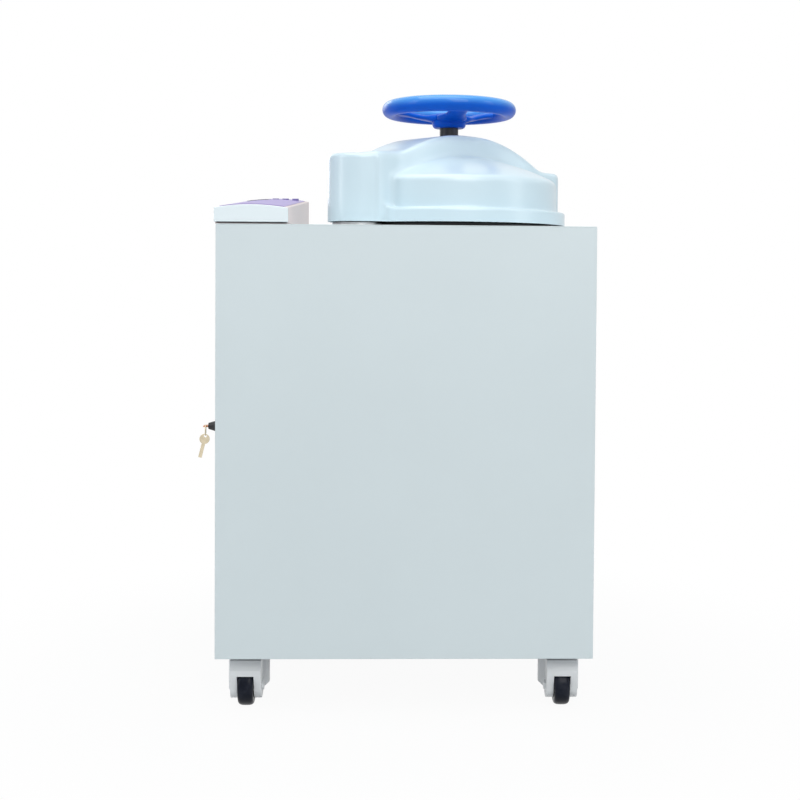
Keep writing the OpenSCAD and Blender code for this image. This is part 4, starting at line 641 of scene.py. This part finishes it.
# %% Rays for the skin and the lining
FOOT, HALVINGS = 8, 34
HOLE, WALL, KNEE = 18.0, 3.0, radians(28)


def crossing(distance, low, high, inset):
    """Where a distance rises through -inset between low and high, by halving all at once."""
    for _ in range(HALVINGS):
        middle = (low + high) / 2
        inside = distance(middle) < -inset
        low, high = np.where(inside, middle, low), np.where(inside, high, middle)
    return low


def cast(azimuth, elevation, inset):
    """Where rays from the middle, FOOT over the deck, cross the skin, inset by a wall."""
    c, s = np.cos(azimuth) * np.cos(elevation), np.sin(azimuth) * np.cos(elevation)
    rise = np.sin(elevation)
    far = crossing(lambda ray: cover_distance(c * ray, s * ray, FOOT + ray * rise),
                   np.zeros_like(c), np.full_like(c, 330.0), inset)
    return np.stack([c * far, s * far, FOOT + far * rise], -1)


def even_azimuths(count):
    """Azimuths that divide the cover's outline into equal lengths."""
    turn = np.linspace(0, 2 * pi, 7201)
    outline = cast(turn, np.full_like(turn, 0.2), 0.0)[:, :2]
    length = np.concatenate([[0], np.cumsum(np.hypot(*np.diff(outline, axis=0).T))])
    return np.interp(np.arange(count) / count * length[-1], length, turn)


def skin_rows(azimuth, shares, inset):
    """A grid of skin points: rows rise from the foot to the edge of the round hole at the top.
    Shares from 0 to 1 run up to the knee, those from 1 to 2 on to the hole."""
    c, s = np.cos(azimuth), np.sin(azimuth)
    edge = crossing(lambda z: cover_distance(HOLE * c, HOLE * s, z),
                    np.full_like(azimuth, 60.0), np.full_like(azimuth, 200.0), inset)
    top = np.arctan2(edge - FOOT, HOLE)
    beyond = np.clip(shares[:, None] - 1, 0, 1)
    flat = 1 / np.tan(KNEE) + (1 / np.tan(top)[None] - 1 / np.tan(KNEE)) * beyond
    table = np.interp(shares, [0, 0.14, 0.22, 0.34, 0.40, 0.60, 1.0],
                      np.radians([0, 6.0, 6.45, 6.9, 7.8, 20.0, 28.0]))
    elevation = np.where(shares[:, None] <= 1, table[:, None], np.arctan2(1.0, flat))
    return cast(np.broadcast_to(azimuth, elevation.shape), elevation, inset)


def to_world(points):
    """From the lid's own axes, in millimetres over the deck, to the room in metres."""
    t, y, z = np.moveaxis(points, -1, 0)
    east, north = t * cos(BEAM) - y * sin(BEAM), t * sin(BEAM) + y * cos(BEAM)
    return np.stack([LID_X + east, north, DECK + z], -1) * MM


around = even_azimuths(560)
outer_shares = np.concatenate([np.linspace(0, 1, 76), 1 + np.linspace(0, 1, 46)[1:]])
inner_shares = np.concatenate([np.linspace(0, 1, 14), 1 + np.linspace(0, 1, 24)[1:]])
outer = skin_rows(around, outer_shares, 0.0)
inner = skin_rows(around, inner_shares, WALL)
print("cover skin:", outer.shape, "lining:", inner.shape)

# %% [markdown]
# The lining runs from the hole back down to the foot, so that skin and
# lining make one closed shell when the two seams, at the hole and at the
# foot, are joined. A small window at the back of the nose lets the catch
# stud pass when the lid swings; a box cuts it.

# %% Build the cover and cut its catch window
shell = np.concatenate([outer, inner[::-1]])
rows, columns = shell.shape[:2]
faces = grid_faces(rows, columns, True) + seam(rows, columns)
cover = make_piece("moulded_lid_cover", to_world(shell), faces, "glossy_lid_plastic",
                   "lid_arm", node="lid_cover")
WINDOW = (181.0, 218.0), (30.0, 74.0), (-4.0, 48.0)
corners = np.array([(t, y, z) for t in WINDOW[0] for y in WINDOW[1] for z in WINDOW[2]])
box_faces = [(0, 1, 3, 2), (4, 6, 7, 5), (0, 4, 5, 1), (2, 3, 7, 6), (0, 2, 6, 4), (1, 5, 7, 3)]
cutter_mesh = bpy.data.meshes.new("catch_window")
cutter_mesh.from_pydata(to_world(corners).tolist(), [], box_faces)
cutter = bpy.data.objects.new("catch_window", cutter_mesh)
bpy.context.scene.collection.objects.link(cutter)
window = cover.modifiers.new("catch_window", "BOOLEAN")
window.operation, window.object, window.solver = "DIFFERENCE", cutter, "MANIFOLD"
bpy.context.view_layer.update()
cut = cover.evaluated_get(bpy.context.evaluated_depsgraph_get())
carved = bpy.data.meshes.new_from_object(cut)
cover.modifiers.clear()
carved.shade_smooth()
carved.set_sharp_from_angle(angle=radians(50))
cover.data = carved
bpy.data.objects.remove(cutter)
print("carved cover:", len(carved.vertices), "points")

# %% [markdown]
# ## The handwheel
# Moulded handwheels have a fat round rim, and their spokes are flat straps
# that grow wider where they run into the rim and into the hub. The rim is a
# circle carried round a circle. Each spoke is a squared oval carried out
# along the radius, and the oval's width, thickness and height follow the
# radius. The ends of the spokes lie inside the rim and the hub.

# %% Rim, hub and spokes
RIM_RADIUS, RIM_TUBE, RIM_HEIGHT = 101.5, 13.5, 207.0
SPOKES = -78, 42, 162


def ring_grid(radius, tube, height, around_count=192, tube_count=40):
    """A torus: a circle of the tube's radius carried round the axis."""
    a = np.linspace(0, 2 * pi, around_count, endpoint=False)[:, None]
    b = np.linspace(0, 2 * pi, tube_count, endpoint=False)[None]
    r = radius + tube * np.cos(b)
    return np.stack([r * np.cos(a), r * np.sin(a), height + tube * np.sin(b) + 0 * a], -1)


def turned(profile, count=96):
    """A lathe: the profile's radius and height carried round the axis."""
    p = np.asarray(profile, float)
    a = np.linspace(0, 2 * pi, count, endpoint=False)[None]
    return np.stack([p[:, :1] * np.cos(a), p[:, :1] * np.sin(a), p[:, 1:2] + 0 * a], -1)


def strap(angle, rows=60, count=48):
    """A spoke: along the radius u runs a squared oval, whose half width, half thickness and
    height are smooth functions of u."""
    u = np.linspace(16, 100, rows)[:, None]
    half = 16.5 + 9 * (1 - smooth_step(u, 20, 52)) + 13 * smooth_step(u, 62, 98) ** 1.4
    thick = 4.6 + 2.5 * (1 - smooth_step(u, 22, 40)) + 2.2 * smooth_step(u, 74, 100)
    height = 192.5 + 14.0 * smooth_step(u, 22, 104)
    v = np.linspace(0, 2 * pi, count, endpoint=False)[None]
    c, s = np.cos(v), np.sin(v)
    across = half * np.sign(c) * np.abs(c) ** 0.55
    up = height + thick * np.sign(s) * np.abs(s) ** 0.8
    along = u + 0 * v
    return np.stack([along * cos(angle) - across * sin(angle),
                     along * sin(angle) + across * cos(angle), up], -1)


def soft_profile(points, radius):
    """A polyline whose inner corners are cut by two points each, so that it turns softly."""
    p = [np.array(q, float) for q in points]
    out = [p[0]]
    for before, corner, after in zip(p, p[1:], p[2:]):
        for share in (0.0, 0.3, 0.7, 1.0):
            a = corner + (before - corner) * min(0.5, radius / np.linalg.norm(before - corner))
            b = corner + (after - corner) * min(0.5, radius / np.linalg.norm(after - corner))
            middle = a * (1 - share) ** 2 + 2 * corner * share * (1 - share) + b * share ** 2
            out.append(middle)
    return np.array(out + [p[-1]])


# %% Put the handwheel together
hub_profile = soft_profile([(0.01, 198.5), (9, 198.5), (11, 200), (24, 200), (29, 195), (29, 181),
                            (26, 176), (17, 176), (0.01, 176)], 2.2)
parts, faces, start = [], [], 0
grids = [(ring_grid(RIM_RADIUS, RIM_TUBE, RIM_HEIGHT), seam), (turned(hub_profile), caps)]
grids += [(strap(radians(angle)), caps) for angle in SPOKES]
for grid, close in grids:
    rows, columns = grid.shape[:2]
    faces += grid_faces(rows, columns, True, start) + close(rows, columns, start)
    parts.append(grid.reshape(-1, 3))
    start += rows * columns
points = (np.concatenate(parts) + (LID_X, 0, DECK)) * MM
handwheel = make_piece("moulded_handwheel", points, faces, "blue_wheel_plastic", "screw",
                       node="handwheel", sharp=60)
face_outward(handwheel)

# %% [markdown]
# ## Wheels
# A stock caster wheel is a dark tyre pressed on a grey centre. Both are
# turned on a lathe: a closed outline in radius and width is carried round
# the axle. The tyre's outline is a squared oval, so its shoulders are round
# and its tread is nearly flat; the centre has a thick hub and a thin disc.

# %% Tyres and wheel centres
CASTER_X, CASTER_Y, TRAIL, AXLE_Z = 251.0, 150.0, 35.0, 31.5


def closed_lathe(name, outline, centre, material, body, node, count=96):
    """Carries a closed outline of (radius, width) round an axle that points along X."""
    p = np.asarray(outline, float)
    a = np.linspace(0, 2 * pi, count, endpoint=False)[None]
    grid = np.stack([p[:, 1:2] + 0 * a, p[:, :1] * np.cos(a), p[:, :1] * np.sin(a)], -1)
    faces = grid_faces(len(p), count, True) + seam(len(p), count)
    piece = make_piece(name, (grid + centre) * MM, faces, material, body, node=node, sharp=40)
    face_outward(piece)


turn = np.linspace(0, 2 * pi, 56, endpoint=False)
tyre = np.stack([24.5 + 7.0 * np.sign(np.cos(turn)) * np.abs(np.cos(turn)) ** 0.7,
                 12.4 * np.sign(np.sin(turn)) * np.abs(np.sin(turn)) ** 0.62], -1)
half_disc = soft_profile([(5.1, 0), (5.1, 12.9), (9, 12.9), (10.4, 8.6), (19.2, 8.6),
                          (20.6, 10.2), (20.6, 0)], 0.9)
centre_outline = np.concatenate([half_disc[1:], (half_disc * (1, -1))[::-1][1:]])
for corner in CORNERS:
    side = 1 if "right" in corner else -1
    end = 1 if "rear" in corner else -1
    place = (side * CASTER_X, end * CASTER_Y - TRAIL, AXLE_Z)
    closed_lathe("tyre_" + corner, tyre, place, "black_tread",
                 "wheel_" + corner, "caster_wheel_" + corner)
    closed_lathe("wheel_centre_" + corner, centre_outline, place, "grey_wheel_centre",
                 "wheel_" + corner, "caster_wheel_" + corner, count=64)

# %% [markdown]
# ## Screws
# The rear panel is screwed to the corner posts. A pan head is a low dome
# with a cross cut into it; here the dome is a profile turned about the
# screw's axis, and along the arms of the cross its height falls by six
# tenths of a millimetre.

# %% Pan head screws on the rear panel
HEAD_RADIUS, HEAD_RISE = 3.4, 1.5
SLOT_HALF, SLOT_REACH, SLOT_DEPTH = 0.45, 1.7, 0.6
SCREW_X, PANEL_Y, SCREW_ZS = 262.0, 240.0, (118.0, 280.0, 440.0, 600.0, 738.0)


def pan_head(count=64, rows=22):
    """A low dome over a disc, with a cross: rows run out from a pole."""
    r = np.linspace(0.02, HEAD_RADIUS, rows)[:, None]
    a = np.linspace(0, 2 * pi, count, endpoint=False)[None]
    x, y = r * np.cos(a), r * np.sin(a)
    dome = HEAD_RISE * (1 - (r / HEAD_RADIUS) ** 4) ** 0.5
    arm = np.minimum(np.maximum(np.abs(x) / SLOT_HALF, np.abs(y) / SLOT_REACH),
                     np.maximum(np.abs(y) / SLOT_HALF, np.abs(x) / SLOT_REACH))
    return np.stack([x, y, dome - SLOT_DEPTH * (1 - smooth_step(arm, 0.8, 1.25))], -1)


head = pan_head()
rows, columns = head.shape[:2]
x, y, up = np.moveaxis(head.reshape(-1, 3), -1, 0)
screw_parts, screw_faces = [], []
for side in (-1, 1):
    for z in SCREW_ZS:
        start = len(screw_parts) * rows * columns
        screw_faces += grid_faces(rows, columns, True, start) + caps(rows, columns, start)
        screw_parts.append(np.stack([side * SCREW_X + x, PANEL_Y + up, z + y], -1))
screws = make_piece("rear_panel_screws", np.concatenate(screw_parts) * MM, screw_faces,
                    "zinc_plate", "cabinet", sharp=40)
face_outward(screws)

# %% [markdown]
# ## The studio
# A white floor and a white world hide the horizon, as a paper sweep does:
# the floor turns from lit paper into pure white a step away from the cabinet.
# Only rays that the camera, a mirror-like surface or glass sends see the
# pure white: the light on the object itself stays plain, so that a colour
# renders as it is written. Near the casters the floor keeps its shadow.

# %% Floor and world
REACH = 6.0
LIT_FROM, LIT_TO = 0.35, 1.0
IS_CAMERA, IS_GLOSSY, IS_TRANSMISSION = 0, 3, 6


def looking(tree, mirror_share):
    """1 for rays that the camera or glass sends, mirror_share for those of mirror-like ones."""
    seen = add_node(tree, "ShaderNodeLightPath", out=IS_CAMERA)
    mirrored = Flow(tree, seen.socket.node.outputs[IS_GLOSSY]) * mirror_share
    through = Flow(tree, seen.socket.node.outputs[IS_TRANSMISSION])
    return seen.maths("MAXIMUM", seen, seen.maths("MAXIMUM", mirrored, through))


floor_mesh = bpy.data.meshes.new("studio_floor")
floor_mesh.from_pydata([(x * REACH, y * REACH, 0) for x, y in ((-1, -1), (1, -1), (1, 1), (-1, 1))],
                       [], [(0, 1, 2, 3)])
floor = bpy.data.objects.new("studio_floor", floor_mesh)
bpy.context.scene.collection.objects.link(floor)
paper = bpy.data.materials.new("studio_paper")
paper.use_nodes = True
paper.node_tree.nodes.clear()
place = add_node(paper.node_tree, "ShaderNodeTexCoord", out=3)
distance = place.node("ShaderNodeVectorMath", {"operation": "LENGTH"}, out=1, i0=place)
share = looking(paper.node_tree, 1.0) * (0.95 + 0.05 * distance.ramp(LIT_FROM, LIT_TO))
matte = place.node("ShaderNodeBsdfDiffuse", Color=(0.64, 0.65, 0.66))
glow = place.node("ShaderNodeEmission", Color=(1, 1, 1), Strength=1.0)
mixed = place.node("ShaderNodeMixShader", i0=share, i1=matte, i2=glow)
place.node("ShaderNodeOutputMaterial", Surface=mixed)
floor_mesh.materials.append(paper)

world = bpy.data.worlds.new("studio_world")
bpy.context.scene.world = world
world.use_nodes = True
world.node_tree.nodes.clear()
share = looking(world.node_tree, 0.75)
room = share.node("ShaderNodeBackground", Color=(0.90, 0.96, 1.0), Strength=0.39)
white = share.node("ShaderNodeBackground", Color=(1, 1, 1), Strength=1.0)
mixed = share.node("ShaderNodeMixShader", i0=share, i1=room, i2=white)
share.node("ShaderNodeOutputWorld", Surface=mixed)


print("floor and world ready")

# %% [markdown]
# The light is that of a product studio: a large softbox overhead and one in
# front beside the camera, narrow ones on both sides for the edges, and one
# behind that keeps the rear panel from going dark. The larger a lamp is, the
# softer its shadows are.

# %% Lamps
def softbox(name, at, size, watts, toward=(0, 0, 0.6), colour=(1, 1, 1)):
    """A rectangular area lamp at a place, turned to a point."""
    data = bpy.data.lights.new(name, "AREA")
    data.shape, data.size, data.size_y = "RECTANGLE", size[0], size[1]
    data.energy, data.color = watts, colour
    lamp = bpy.data.objects.new(name, data)
    lamp.location = at
    lamp.rotation_euler = (Vector(toward) - Vector(at)).to_track_quat("-Z", "Y").to_euler()
    bpy.context.scene.collection.objects.link(lamp)


softbox("overhead_softbox", (-0.3, -0.6, 3.2), (2.4, 2.4), 40, colour=(1.0, 0.985, 0.97))
softbox("front_softbox", (0.9, -2.8, 2.5), (1.6, 2.2), 40, colour=(1.0, 0.99, 0.98))
softbox("left_strip", (-2.6, -1.2, 1.5), (0.7, 2.4), 14)
softbox("right_strip", (2.7, -0.9, 1.7), (0.7, 2.0), 10)
softbox("back_softbox", (-1.7, 2.7, 1.7), (1.2, 1.8), 14, toward=(0, 0, 0.4))
bpy.context.scene.view_settings.view_transform = "Standard"
print("lamps:", len(bpy.data.lights))
